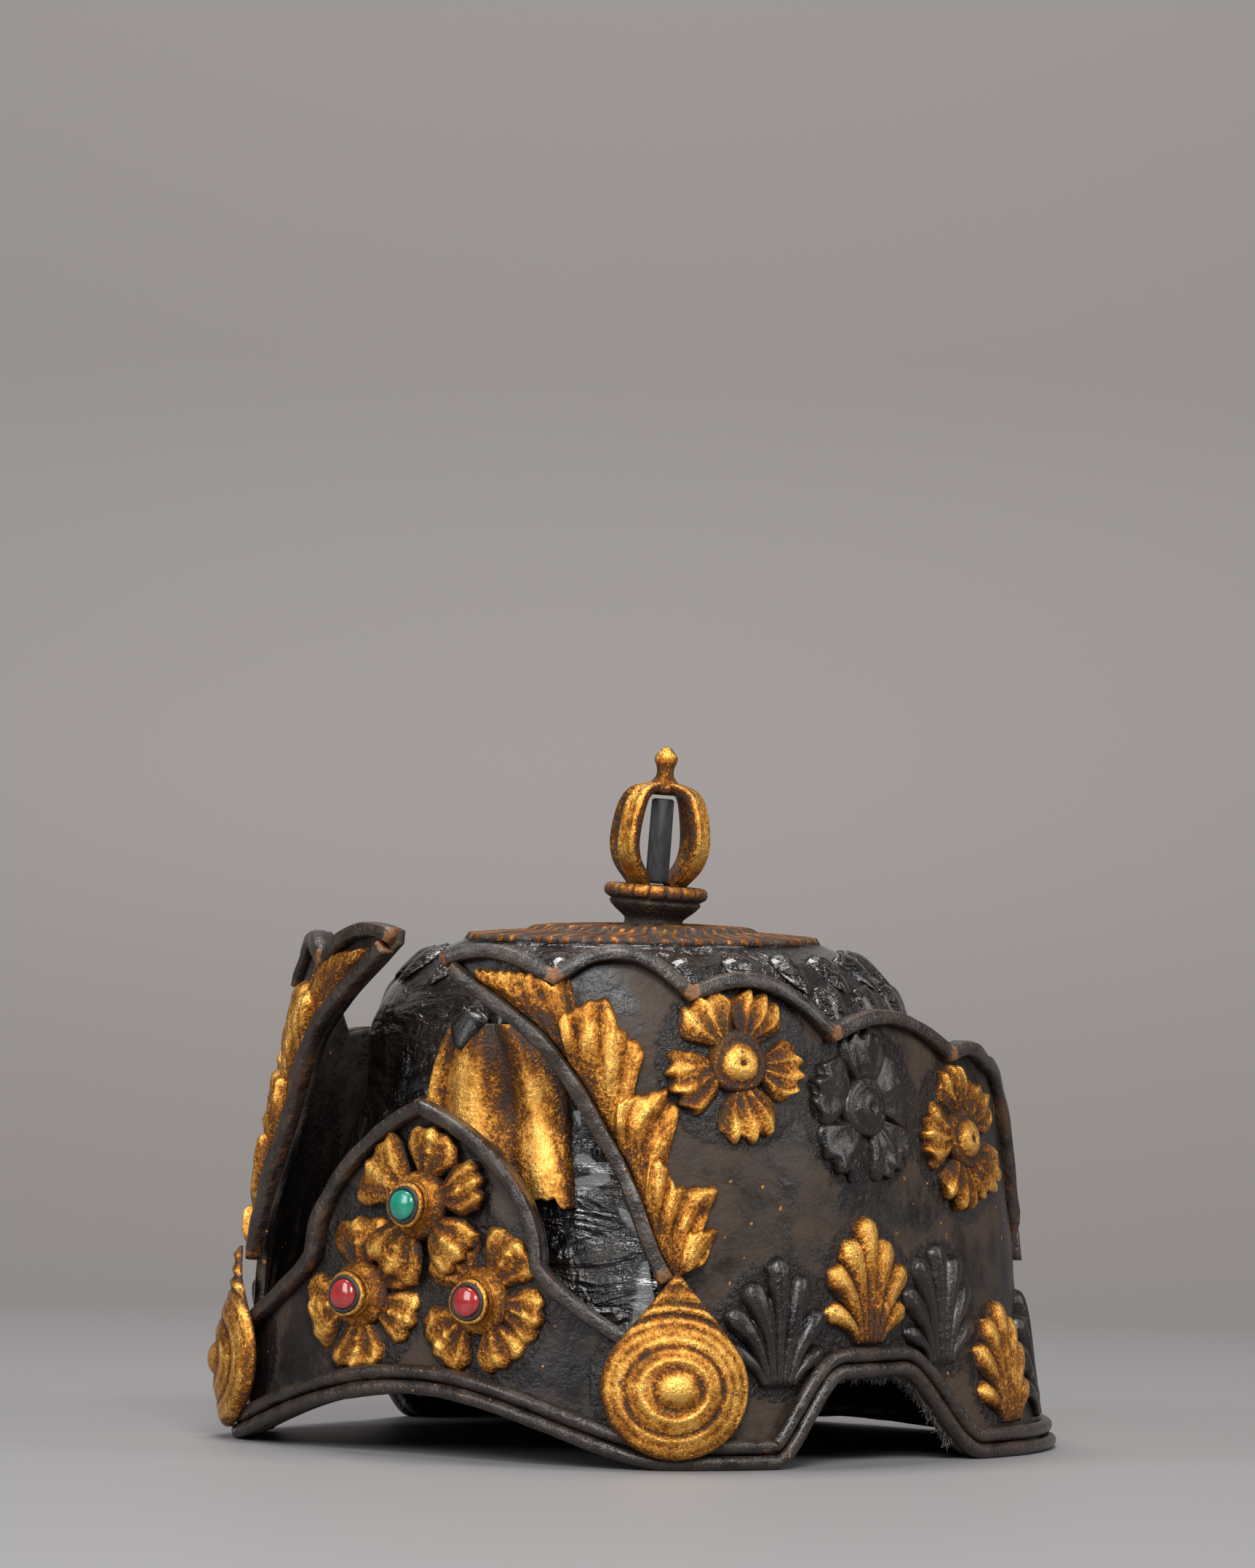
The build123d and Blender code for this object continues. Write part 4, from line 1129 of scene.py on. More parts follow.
def strew_tree(name, jitter):
    """One shape set on every point, turned by the point's own facing."""
    sizes = (("Shape", "NodeSocketObject"), ("Scale", "NodeSocketFloat"), ("Finish", "NodeSocketMaterial"))
    tree, graph, given = new_tree(name, sizes)
    shape = graph.node("GeometryNodeObjectInfo", None, {"Object": given.out("Shape")}).out("Geometry")
    facing = graph.node(
        "GeometryNodeInputNamedAttribute", {"data_type": "FLOAT_VECTOR"}, {"Name": "facing"}
    ).out(0)
    chance = graph.node(
        "FunctionNodeRandomValue", {"data_type": "FLOAT"}, {2: 1.0 - jitter, 3: 1.0 + jitter, "Seed": 4}
    ).out(1)
    inputs = {
        "Points": given.out(0),
        "Instance": shape,
        "Rotation": facing,
        "Scale": given.out("Scale") * chance,
    }
    strewn = graph.node("GeometryNodeInstanceOnPoints", None, inputs).out(0)
    end_tree(graph, strewn, given.out("Finish"))
    return tree


def facing_angles(normals, ups):
    """Euler angles that turn +Z to each normal and +Y to each up direction."""
    angles = []
    for normal, up in zip(normals, ups):
        z_axis = Vector(normal).normalized()
        x_axis = Vector(up).cross(z_axis).normalized()
        y_axis = z_axis.cross(x_axis)
        angles.append(tuple(Matrix((x_axis, y_axis, z_axis)).transposed().to_euler()))
    return angles


def shape_object(name, shells):
    """A small shape at the origin, in millimetres, for a tree to set on its points."""
    piece_points = []
    faces = []
    start = 0
    for shell in shells:
        points, _, groups = shell.arrays()
        piece_points.extend((points * MM).tolist())
        for group in groups:
            faces.extend((group + start).tolist())
        start += len(points)
    mesh = bpy.data.meshes.new(name)
    mesh.from_pydata(piece_points, [], faces)
    shape = bpy.data.objects.new(name, mesh)
    bpy.context.scene.collection.objects.link(shape)
    return shape


class CROWN_OT_hem_cords(bpy.types.Operator):
    """Roll the two cords of the hem"""

    bl_idname = "crown.hem_cords"
    bl_label = "Hem cords"

    def execute(self, context):
        sizes = context.scene.crown_sizes
        tree = cord_tree()
        turns = np.linspace(-180.0, 180.0, 421)[:-1]
        count = len(turns)
        edges = [(index, (index + 1) % count) for index in range(count)]
        values = {"Radius": sizes.cord_radius, "Finish": material("rim_lacquer"), "Sides": 16}
        for name, drop in (("lower", -0.5 * HEM_CORD), ("upper", -1.5 * HEM_CORD - SEAT_GAP)):
            wide = np.concatenate([turns[-3:] - 360.0, turns, turns[:3] + 360.0])
            line = shifted(wide, hem_height(wide), drop)
            middle = sizes.cord_radius / MM + 0.15
            points = on_wall(line[0][3:-3], line[1][3:-3], middle)
            node = "hem_cord_" + name
            grow(node + "_look", points, edges, tree, values, [node], "rim_lacquer")
        return {"FINISHED"}


# Raw fibres under each ear notch
FIBRES = 420


class CROWN_OT_fibres(bpy.types.Operator):
    """Set raw leather fibres under the ear notches"""

    bl_idname = "crown.fibres"
    bl_label = "Raw fibres"

    def execute(self, context):
        chance = np.random.default_rng(8)
        points = []
        facing = []
        for side in (-1.0, 1.0):
            turns = side * chance.uniform(66.0, 100.0, FIBRES)
            heights = hem_height(turns) + chance.uniform(-0.2, 1.4, FIBRES)
            points.extend(on_wall(turns, heights, chance.uniform(-PANEL_THICKNESS, 0.6, FIBRES)))
            away = np.array([0.0, 0.0, -1.0]) + chance.normal(0.0, 0.55, (FIBRES, 3))
            facing.extend(facing_angles(away, chance.normal(size=(FIBRES, 3))))
        ring = [(cos(a), sin(a)) for a in (0.0, 2.1, 4.2)]
        taper = ((0.0, 1.0), (0.5, 0.8), (1.0, 0.2))
        rows = [[(0.07 * x * k, 0.07 * y * k, z) for x, y in ring] for z, k in taper]
        shape = shape_object("fibre_shape", [bar(rows)])
        values = {
            "Shape": shape,
            "Scale": context.scene.crown_sizes.fibre_length / MM,
            "Finish": material("raw_fibre"),
        }
        grow("hem_fibres", points, [], strew_tree("Strewn fibres", 0.45), values, [], "lacquer", facing)
        bpy.data.objects.remove(shape)
        return {"FINISHED"}


# Moulded ornaments


def leaf(place, spine, half_widths, rise, lift, rows, columns, sunk):
    """A moulded leaf along a spine of flat stations, its edges sunk below what carries it."""
    u = np.linspace(0.0, 1.0, rows)
    keys = np.linspace(0.0, 1.0, len(spine))
    spine = soft_table([(key, *point) for key, point in zip(keys, spine)], 12)
    x, y = between(spine, u)
    run, climb = heading(x, y)
    widths = soft_table([(key, width) for key, width in half_widths], 12)
    (half,) = between(widths, u)
    v = np.sin(np.linspace(-pi / 2.0, pi / 2.0, columns))
    grid_u, grid_v = np.meshgrid(u, v, indexing="ij")
    across = half[:, None] * v
    along = x[:, None] + climb[:, None] * across
    up = y[:, None] - run[:, None] * across
    body = np.sqrt(np.clip(1.0 - np.abs(grid_v) ** 3.5, 0.0, 1.0))
    body *= np.sqrt(np.clip(1.0 - np.clip((grid_u - 0.86) / 0.14, 0.0, 1.0) ** 2.5, 0.0, 1.0))
    out = (rise(grid_u, grid_v) + sunk) * body - sunk
    shade = lift(grid_u, grid_v) * (0.55 + 0.45 * body)
    return pillow(place(along, up, out), shade)


def polar(radius, angle):
    """Places along and up at an angle clockwise from straight up."""
    return radius * np.sin(np.radians(angle)), radius * np.cos(np.radians(angle))


def lathe(place, profile, spokes=48, lift=0.5, slot=0, wobble=0.0, seed=0):
    """A round body from radius and height stations, set by a place function."""
    angles = np.arange(spokes) * 360.0 / spokes
    chance = np.random.default_rng(seed)
    uneven = 1.0 + wobble * np.sin(np.radians(angles * 3.0 + chance.uniform(0.0, 360.0)))
    rings = []
    for radius, out in profile[1:]:
        x, y = polar(radius * uneven, angles)
        rings.append(place(x, y, out))
    lifts = lift if np.ndim(lift) == 0 else np.array(lift)[1:, None] * np.ones(spokes)
    tip = place(0.0, 0.0, profile[0][1])
    foot = place(0.0, 0.0, profile[-1][1])
    return lid(tip, np.stack(rings), foot, lifts, slot=slot)


def petal(place, angle, start, end, half, seat, sizes, seed, style="gold"):
    """One curled and ridged petal with a ragged tip, pointing away from the flower's middle."""
    chance = np.random.default_rng(seed)
    u = np.linspace(0.0, 1.0, 34)[:, None]
    v = np.sin(np.linspace(-pi / 2.0, pi / 2.0, 37))[None, :]
    half *= chance.uniform(0.95, 1.06)
    tip = 1.0 if style == "beaded" else 0.84
    widths = ((0.0, 0.40), (0.18, 0.34), (0.42, 0.66), (0.66, 0.96), (0.86, 1.0), (1.0, tip))
    (width,) = between(soft_table(widths, 10), u)
    lobes = chance.integers(3, 5)
    phase = chance.uniform(-0.6, 0.6)
    blunt = 0.35 if style == "beaded" else 0.85
    ragged = blunt * (0.050 * np.cos(lobes * pi * v + phase) + 0.022 * np.cos(11.0 * v + 3.0 * phase))
    pointed = chance.uniform(0.08, 0.22) * (0.5 + 0.5 * blunt)
    reach = end * (1.0 - pointed * np.abs(v) ** 1.8 + ragged)
    across = half * width * v * (1.0 + 0.05 * np.sin(9.0 * u + seed)) + chance.uniform(-1.2, 1.2) * u**2
    away = start + (reach - start) * u
    turn = radians(angle)
    along = across * cos(turn) + away * sin(turn)
    up = away * cos(turn) - across * sin(turn)
    count = {"gold": 4.0, "black": 2.6, "beaded": 3.4}[style] + chance.uniform(-0.5, 0.5)
    sweep = v * (1.0 - 0.25 * u) + 0.10 * np.sin(4.0 * u + seed)
    wave = 1.0 - 2.0 * np.abs(np.sin(pi * count * sweep / 2.0 + phase)) ** 0.8
    wave = wave * smooth((u - 0.16) / 0.25)
    soften = {"gold": 1.0, "black": 0.80, "beaded": 0.72}[style]
    ridge = sizes.petal_ridge / MM * soften
    crest = 1.2 + 2.0 * smooth(u / 0.55) - 0.9 * smooth((u - 0.72) / 0.28)
    curl = chance.uniform(0.3, 1.5) * np.exp(-(((u - 0.9) / 0.12) ** 2))
    curl = curl * (0.5 + 0.5 * np.cos(2.0 * v + phase))
    bowl = chance.uniform(-0.7, 0.5) * (v**2) * smooth((u - 0.3) / 0.3)
    rise = (crest + bowl + curl) * soften * (1.0 - 0.22 * v**2) + ridge * wave
    if style == "beaded":
        beads = np.clip(np.sin(u * 30.0 + seed), 0.0, 1.0) * np.exp(-((v / 0.17) ** 2))
        beads = beads * smooth((u - 0.34) / 0.1) * smooth((0.92 - u) / 0.1)
        rise = rise + 0.75 * beads
        wave = wave + 1.2 * beads
    side_fall = np.sqrt(np.clip(1.0 - np.abs(v) ** 7, 0.0, 1.0))
    tip_fall = np.sqrt(np.clip(1.0 - np.clip((u - 0.90) / 0.10, 0.0, 1.0) ** 2.2, 0.0, 1.0))
    body = side_fall * tip_fall
    out = seat + (rise + 0.5) * body - 0.5
    # On gilt petals lift paints shade at the root by the middle and along the falling edges, and a
    # highlight on the ridges and the outer part.
    tone = 0.46 + 0.24 * wave + 0.30 * smooth((u - 0.40) / 0.45) - 0.30 * (1.0 - smooth(u / 0.35))
    lift = np.clip(tone, 0.0, 1.0) * (0.35 + 0.65 * body)
    return pillow(place(along, up, out), lift)


def petal_room(angles, index):
    """Half the sum of a petal's gaps to its two neighbours, as a share of an even fifth."""
    room = (angles[(index + 1) % 5] - angles[index]) % 360 + (angles[index] - angles[index - 1]) % 360
    return min(1.12, max(0.82, room / 144.0))


def side_flower(name, turn, height, angles, sizes, seed):
    """A flower of a side panel with a domed middle."""
    black = "black" in name
    soften = 0.85 if black else 1.0
    place = wall_place(turn, height)
    shells = []
    for index, angle in enumerate(angles):
        half = (10.4 if black else 9.0) * petal_room(angles, index)
        end = 20.8 + 0.9 * sin(seed + index * 2.0)
        style = "black" if black else "gold"
        shells.append(petal(place, angle, 3.4, end, half, 0.0, sizes, seed * 10 + index, style))
    # Radius, height and lift of the middle; on gilt flowers the low lift in its dimple, groove and foot is
    # painted shade and the high lift on its dome a painted highlight.
    middle = (
        (0.0, 4.2, 0.15), (0.6, 4.3, 0.25), (1.2, 4.9, 0.85), (2.2, 5.1, 0.98), (3.6, 4.7, 0.85),
        (4.8, 3.7, 0.60), (5.5, 2.8, 0.25), (6.1, 2.6, 0.08), (7.0, 2.9, 0.30), (8.0, 2.3, 0.22),
        (9.2, -0.5, 0.10),
    )
    profile = [(radius, out * (soften if out > 0 else 1.0)) for radius, out, _ in middle]
    shells.append(lathe(place, profile, 40, [tone for *_, tone in middle], wobble=0.04, seed=seed))
    make_piece(name + "_look", shells, "moulded_lacquer" if black else "gilding")


def front_flower(name, turn, height, angles, seat, sizes, seed):
    """A flower of the front panel: ridged and beaded petals round a gold cup with a dark setting."""
    place = wall_place(turn, height)
    shells = []
    for index, angle in enumerate(angles):
        half = 9.3 * petal_room(angles, index)
        end = (22.0 if name == "top" else 20.6) + 0.7 * sin(seed + index * 2.3)
        shells.append(petal(place, angle, 4.0, end, half, seat - 0.5, sizes, seed * 10 + index, "beaded"))
    cup = (
        (0.0, 6.0), (3.9, 6.0), (5.0, 6.9), (5.7, 7.0), (6.2, 6.6), (6.1, 5.9), (6.5, 5.4), (6.5, 4.2),
        (6.9, 3.0), (7.9, 2.2), (9.0, 1.5), (9.8, -0.6),
    )
    # Lift of the cup's rings: low under the stone, under the lip and towards the foot, painted shade, and
    # high on the rim, a painted highlight.
    tones = (0.1, 0.1, 0.6, 0.80, 0.7, 0.45, 0.80, 0.75, 0.68, 0.55, 0.45, 0.25)
    shells.append(lathe(place, [(r, seat + out) for r, out in cup], 48, tones, wobble=0.025, seed=seed))
    setting = ((0.0, 5.6), (3.9, 6.8), (4.15, 7.4), (4.6, 7.6), (5.15, 7.4), (5.4, 6.8), (5.3, 5.8))
    setting = [(radius, seat + out) for radius, out in setting]
    shells.append(lathe(place, setting, 48, 0.5, slot=1, wobble=0.02, seed=seed))
    make_piece("front_flower_" + name + "_look", shells, "gilding", "bezel")


class CROWN_OT_flowers(bpy.types.Operator):
    """Mould the flowers of the front, side and back panels"""

    bl_idname = "crown.flowers"
    bl_label = "Flowers"

    def execute(self, context):
        sizes = context.scene.crown_sizes
        for seed, (name, turn, share, angles) in enumerate(SIDE_FLOWERS):
            side_flower(name, turn, share * WALL[2], angles, sizes, seed + 2)
        for seed, (name, turn, height, angles, seat) in enumerate(FRONT_FLOWERS):
            front_flower(name, turn, height, angles, seat, sizes, seed + 31)
        return {"FINISHED"}


class CROWN_OT_stones(bpy.types.Operator):
    """Set the turquoise and the two corals"""

    bl_idname = "crown.stones"
    bl_label = "Stones"

    def execute(self, context):
        for seed, (name, turn, height, _, seat) in enumerate(FRONT_FLOWERS):
            place = wall_place(turn, height)
            angle = np.linspace(0.0, pi / 2.0, 12)
            dome = [(4.1 * sin(a), seat + 7.3 + 1.7 * cos(a) ** 0.8) for a in angle]
            dome += [(4.15, seat + 7.0), (3.9, seat + 6.2)]
            kind = "turquoise" if name == "top" else "coral"
            shell = lathe(place, dome, 56, 0.5, wobble=0.03, seed=seed)
            make_piece("front_stone_" + name + "_look", [shell], kind)
        return {"FINISHED"}


FINGERS = ((0.0, 33.6, 4.6, 0.0), (19.5, 29.8, 4.6, 1.7), (40.0, 25.0, 4.3, 3.2), (62.0, 18.6, 3.5, 4.3))


def palmette_shells(turn, base, black, seed):
    """Seven ridged fingers over a low web, fanning out of a narrow foot."""
    chance = np.random.default_rng(seed)
    place = wall_place(turn, base)
    # On gilt palmettes the low lift of the web between the fingers is painted shade.
    web = leaf(
        place,
        ((0.0, -1.0), (0.3, 10.0), (0.0, 24.0)),
        ((0.0, 5.6), (0.25, 7.5), (0.6, 10.5), (0.85, 7.5), (1.0, 3.0)),
        lambda u, v: 1.5 + 0.0 * u + 0.0 * v,
        lambda u, v: 0.08 + 0.1 * u + 0.0 * v,
        20,
        15,
        0.6,
    )
    shells = [web]
    for finger in (-3, 3, -2, 2, -1, 1, 0):
        spread, reach, width, foot = FINGERS[abs(finger)]
        side = float(np.sign(finger))
        reach *= chance.uniform(0.96, 1.03)
        tip_x, tip_y = polar(reach, side * (spread + chance.uniform(-2.0, 2.0)))
        foot_x = side * foot
        knee = (foot_x + (tip_x - foot_x) * 0.26, tip_y * 0.50 - 0.5)
        bend = (foot_x + (tip_x - foot_x) * 0.66, tip_y * 0.84)
        width *= 0.86 if black else 1.0
        widths = (
            (0.0, 1.5),
            (0.30, width * 0.58),
            (0.60, width * 0.92),
            (0.78, width),
            (0.91, width * 0.66),
            (1.0, width * 0.16),
        )
        crown = (2.7 if black else 3.1) - 0.15 * abs(finger)
        groove = chance.uniform(0.2, 0.5)

        def rise(u, v, crown=crown, groove=groove):
            ridge = 1.0 - 0.50 * np.abs(v) ** 2.2
            notch = groove * np.exp(-(((v - 0.25) / 0.16) ** 2)) * smooth((u - 0.3) / 0.2)
            notch = notch * smooth((0.97 - u) / 0.1)
            bow = 0.62 + 0.50 * np.sin(pi * np.clip(u, 0.0, 1.0) ** 1.2) ** 1.2
            return 0.3 + crown * ridge * bow - notch

        # Lift paints shade down each finger's sides and at its root, and a highlight along its crest and
        # outer part.
        def lift(u, v):
            tone = 0.74 - 0.66 * np.abs(v) ** 2.0 + 0.26 * smooth((u - 0.4) / 0.4)
            return np.clip(tone - 0.34 * (1.0 - smooth(u / 0.5)), 0.0, 1.0)

        spine = ((foot_x, -0.5), knee, bend, (tip_x, tip_y))
        shells.append(leaf(place, spine, widths, rise, lift, 28, 15, 0.6))
    return shells


class CROWN_OT_palmettes(bpy.types.Operator):
    """Mould the palmettes along the hem"""

    bl_idname = "crown.palmettes"
    bl_label = "Palmettes"

    def execute(self, context):
        places = [("gold_palmette_back_middle", 180.0, PALMETTES[-1][2])]
        for side, prefix in ((1, "right_"), (-1, "left_")):
            places.extend((prefix + name, side * turn, share) for name, turn, share in PALMETTES)
        for seed, (name, turn, share) in enumerate(places):
            black = "black" in name
            shells = palmette_shells(turn, share * WALL[2], black, seed + 50)
            make_piece(name + "_look", shells, "moulded_lacquer" if black else "gilding")
        return {"FINISHED"}


def boss_profile(radius):
    """Height of the boss over its seat at a distance from the knob, and how bright it is painted: a painted
    highlight on the knob and ridges, painted shade in the grooves.
    """
    rows = (
        (0.0, 7.5, 0.95), (1.8, 7.2, 0.9), (3.6, 6.3, 0.75), (4.9, 5.2, 0.55), (5.6, 4.75, 0.30),
        (6.4, 4.9, 0.50), (7.6, 5.35, 0.75), (9.0, 5.2, 0.80), (10.4, 4.7, 0.65), (11.4, 4.15, 0.48),
        (11.9, 3.95, 0.36), (12.7, 4.1, 0.60), (14.2, 3.95, 0.72), (16.5, 3.2, 0.62), (18.5, 2.4, 0.55),
        (21.0, 1.9, 0.50), (25.0, 1.6, 0.60), (32.0, 1.5, 0.55),
    )
    return between(soft_table(rows, 6), radius)


class CROWN_OT_bosses(bpy.types.Operator):
    """Mould the two spiral bosses over the front corners"""

    bl_idname = "crown.bosses"
    bl_label = "Bosses"

    def execute(self, context):
        tangent = degrees(acos(BOSS_RADIUS / BOSS_REACH))
        angles = np.arange(180) * 2.0
        signed = (angles + 180.0) % 360.0 - 180.0
        outline = BOSS_RADIUS / np.cos(np.radians(np.clip(tangent - np.abs(signed), 0.0, None)))
        shares = np.concatenate([np.linspace(0.02, 0.94, 54), [0.965, 0.985, 1.0]])
        for side, name in ((1, "right"), (-1, "left")):
            place = wall_place(side * BOSS_PLACE[0], BOSS_PLACE[1])
            seat = RELIEF_GAP + SEAT_GAP + HEM_CORD
            radius = shares[:, None] * outline
            x, y = polar(radius, angles)
            swirl = radius * (1.0 + 0.07 * np.sin(np.radians(signed) * side + 0.6) * smooth(radius / 12.0))
            height, lift = boss_profile(swirl)
            upper = np.clip(radius / BOSS_RADIUS - 0.75, 0.0, None)
            upper = upper * np.clip(np.cos(np.radians(signed)), 0.0, None)
            waves = np.cos(radius * 2.0 * pi / 3.6 + 1.5 * np.sin(np.radians(signed)) * side)
            strokes = np.cos(radius * 2.3 + 2.4 * np.sin(np.radians(signed) * side + 0.4))
            strokes = strokes * smooth((radius - 5.0) / 3.0)
            height = height + 0.55 * waves * smooth(upper * 3.0) + 0.16 * strokes
            # Lift follows the waves and strokes of the height: a painted highlight on their crests and
            # painted shade between them.
            lift = np.clip(lift + 0.25 * waves * smooth(upper * 3.0) + 0.13 * strokes, 0.0, 1.0)
            edge = np.where(shares > 0.95, (1.0 - shares) / 0.05, 1.0)[:, None]
            height = 0.2 + (height - 0.2) * (0.25 + 0.75 * np.sqrt(np.clip(edge, 0.0, 1.0)))
            rings = place(x, y, seat + height)
            skirt = place(x[-1:] * 0.995, y[-1:] * 0.995, seat - 0.5)
            inner = place(x[-1:] * 0.6, y[-1:] * 0.6, seat - 0.8)
            points = np.concatenate([rings, skirt, inner])
            # The skirt and the inside under the boss are given low lift: painted shade.
            lifts = np.concatenate([lift, lift[-1:] * 0.5, lift[-1:] * 0.0])
            shell = lid(place(0.0, 0.0, seat + 7.5), points, place(0.0, 0.0, seat - 1.0), lifts)
            make_piece(name + "_boss_look", [shell], "gilding")
        return {"FINISHED"}


class Edge:
    """A path on the wall with places beside it, by length along it and distance from it."""

    def __init__(self, turns, heights):
        scale = degree_length(turns, heights)
        run, climb = heading(turns, heights, scale)
        self.turns = turns
        self.heights = heights
        steps = np.hypot(np.diff(turns) * scale[:-1], np.diff(heights))
        self.along = np.concatenate([[0.0], np.cumsum(steps)])
        kernel = np.ones(15) / 15.0
        self.side_turn = np.convolve(np.pad(-climb, 7, "edge"), kernel, "valid")
        self.side_up = np.convolve(np.pad(run, 7, "edge"), kernel, "valid")

    def line(self, along, away):
        """Turns and heights at lengths along the path, moved to its left."""
        turn = np.interp(along, self.along, self.turns)
        height = np.interp(along, self.along, self.heights)
        scale = degree_length(turn, height)
        turn = turn + np.interp(along, self.along, self.side_turn) * away / scale
        return turn, height + np.interp(along, self.along, self.side_up) * away


# Acanthus leaves from the tip down: margin of each, as shares along the edge and reaches from it
SCROLL_LEAVES = (
    ((0.08, 6.0), (0.14, 9.5), (0.20, 14.0), (0.25, 18.5), (0.285, 22.0), (0.305, 18.0), (0.315, 12.0)),
    (
        (0.32, 9.5), (0.33, 15.0), (0.345, 21.0), (0.365, 24.0), (0.40, 20.8), (0.43, 21.6), (0.48, 23.8),
        (0.515, 20.0), (0.54, 12.0),
    ),
    (
        (0.55, 9.5), (0.565, 17.0), (0.585, 24.2), (0.61, 21.8), (0.64, 24.6), (0.68, 19.4), (0.72, 16.0),
        (0.76, 10.0),
    ),
    (
        (0.70, 10.0), (0.72, 13.2), (0.75, 14.2), (0.78, 13.4), (0.80, 17.5), (0.83, 27.0), (0.86, 22.0),
        (0.895, 20.8), (0.925, 17.0), (0.97, 12.0),
    ),
    ((0.905, 13.0), (0.92, 18.0), (0.94, 22.7), (0.965, 19.0), (0.985, 14.0), (1.0, 9.0)),
)


def swing(away):
    """How far a rib has climbed along the edge by the time it stands at a distance from it."""
    return 26.0 * (1.0 - np.exp(-(away - 4.0) / 12.0))


def scroll_leaf(edge, side, ceiling, margin, rim, seed):
    """One acanthus leaf over the next, its ribs rising beside the rim and curling out to a lobed margin."""
    chance = np.random.default_rng(seed)
    share, reach = np.array(margin).T
    flow = np.maximum.accumulate(share * edge.along[-1] + swing(reach))
    flow = flow + 0.001 * np.arange(len(flow))
    q = np.linspace(0.0, 1.0, 84)[:, None] ** 1.15
    line = flow[0] + (flow[-1] + 4.0 - flow[0]) * q
    far = np.pad(np.interp(line, flow, reach)[:, 0], 3, "edge")
    far = np.convolve(far, np.ones(7) / 7.0, "valid")[:, None]
    far = far + 0.25 * np.sin(line * 1.7 + seed)
    v = np.sin(np.linspace(-pi / 2.0, pi / 2.0, 44)) * 0.5 + 0.5
    away = rim - 0.2 + (far - rim + 0.2) * v
    turns, heights = edge.line(np.clip(line - swing(away), 0.0, edge.along[-1]), away)
    above = np.clip(heights - ceiling(turns), 0.0, None)
    heights = heights - above
    phase = chance.uniform(0.0, 6.0)
    bent = line + 1.4 * np.sin(away * 0.30 + phase)
    ribs = 2.0 * np.abs(np.sin(pi * bent / chance.uniform(8.2, 10.0) + phase)) ** 0.8 - 1.0
    threads = np.cos(bent * 3.4 + phase)
    low = smooth((line / edge.along[-1] - 0.22) / 0.30)
    ribs = ribs * (0.06 + 0.94 * low)
    threads = threads * low
    spread = smooth((v - 0.12) / 0.40)
    lumps = wander(np.stack([line + 0.0 * away, away, 0.0 * away], -1), 4.6, 17)
    crest = 3.0 * (1.0 - q) ** 0.8 * (0.35 + 0.65 * spread)
    curl = 1.1 * smooth((v - 0.78) / 0.22) * (0.4 + 0.6 * (1.0 - q))
    rise = 1.3 + crest + (1.05 * ribs + 0.05 * threads) * spread + 0.22 * lumps + curl
    body = np.sqrt(np.clip(1.0 - np.abs(2.0 * v - 1.0) ** 6, 0.0, 1.0))
    ends = np.clip(np.minimum(q / 0.05, (1.0 - q) / 0.03), 0.0, 1.0)
    body = body * np.sqrt(np.clip(1.0 - (1.0 - ends) ** 2, 0.0, 1.0)) * np.exp(-2.5 * above)
    # Tone paints a highlight on the rib crests, the curled outer margin and the leaf's start, and shade in
    # the rib valleys and along the falling edges; the lumps are the gilding's own unevenness.
    tone = 0.40 + (0.06 + 0.14 * low) * spread + 0.18 * ribs * spread + 0.04 * threads + 0.09 * lumps
    tone = tone + 0.14 * smooth((v - 0.7) / 0.3) + 0.10 * (1.0 - q) ** 3
    # The far end of each leaf, under the next one, is darkened: painted shadow of that leaf.
    tone = tone - 0.40 * smooth((q - 0.74) / 0.24) * smooth((v - 0.25) / 0.35)
    lift = np.clip(tone, 0.0, 1.0) * (0.45 + 0.55 * body)
    return pillow(on_wall(side * turns, heights, (rise + 0.5) * body - 0.5), lift)


class CROWN_OT_acanthus(bpy.types.Operator):
    """Mould the acanthus scrolls beside the slanting front edges"""

    bl_idname = "crown.acanthus"
    bl_label = "Acanthus"

    def execute(self, context):
        rim = context.scene.crown_sizes.rim_width / MM
        for side, name in ((1, "right"), (-1, "left")):
            turns = np.linspace(TIP_TURN, FRONT_SEAM, 240)
            edge = Edge(turns, front_edge(turns, side))
            top_turns, top_heights, _ = top_edge(side)

            def ceiling(turn, top_turns=top_turns, top_heights=top_heights):
                return np.interp(turn, top_turns, top_heights) - rim - 0.2

            shells = []
            for seed, margin in enumerate(SCROLL_LEAVES):
                shells.append(scroll_leaf(edge, side, ceiling, margin, rim, 70 + seed))
            make_piece(name + "_acanthus_look", shells, "gilding")
        return {"FINISHED"}


# Cap, drape and finial


def cap_grid(turns, out, rows, dent):
    """Rows of points over the cap from its hem to the edge of its top."""
    keys = np.linspace(0.30, 1.0, rows)
    hem = hem_height(turns) + HEM_CORD
    foot = on_wall(turns, hem, out - PANEL_THICKNESS - 0.6)
    low = on_cap(turns, CAP[2] * 0.38, out)
    grid = [foot]
    for share in (0.25, 0.5, 0.75):
        grid.append(foot + (low - foot) * share)
    for key in keys[keys > 0.385]:
        points = on_cap(turns, CAP[2] * key, out)
        folds = wander(points * np.array([1.0, 1.0, 2.2]), 26.0, 3) + 0.6 * wander(points, 11.0, 4)
        grid.append(on_cap(turns, CAP[2] * key, out + dent * folds * (1.2 - key)))
    return np.stack(grid)


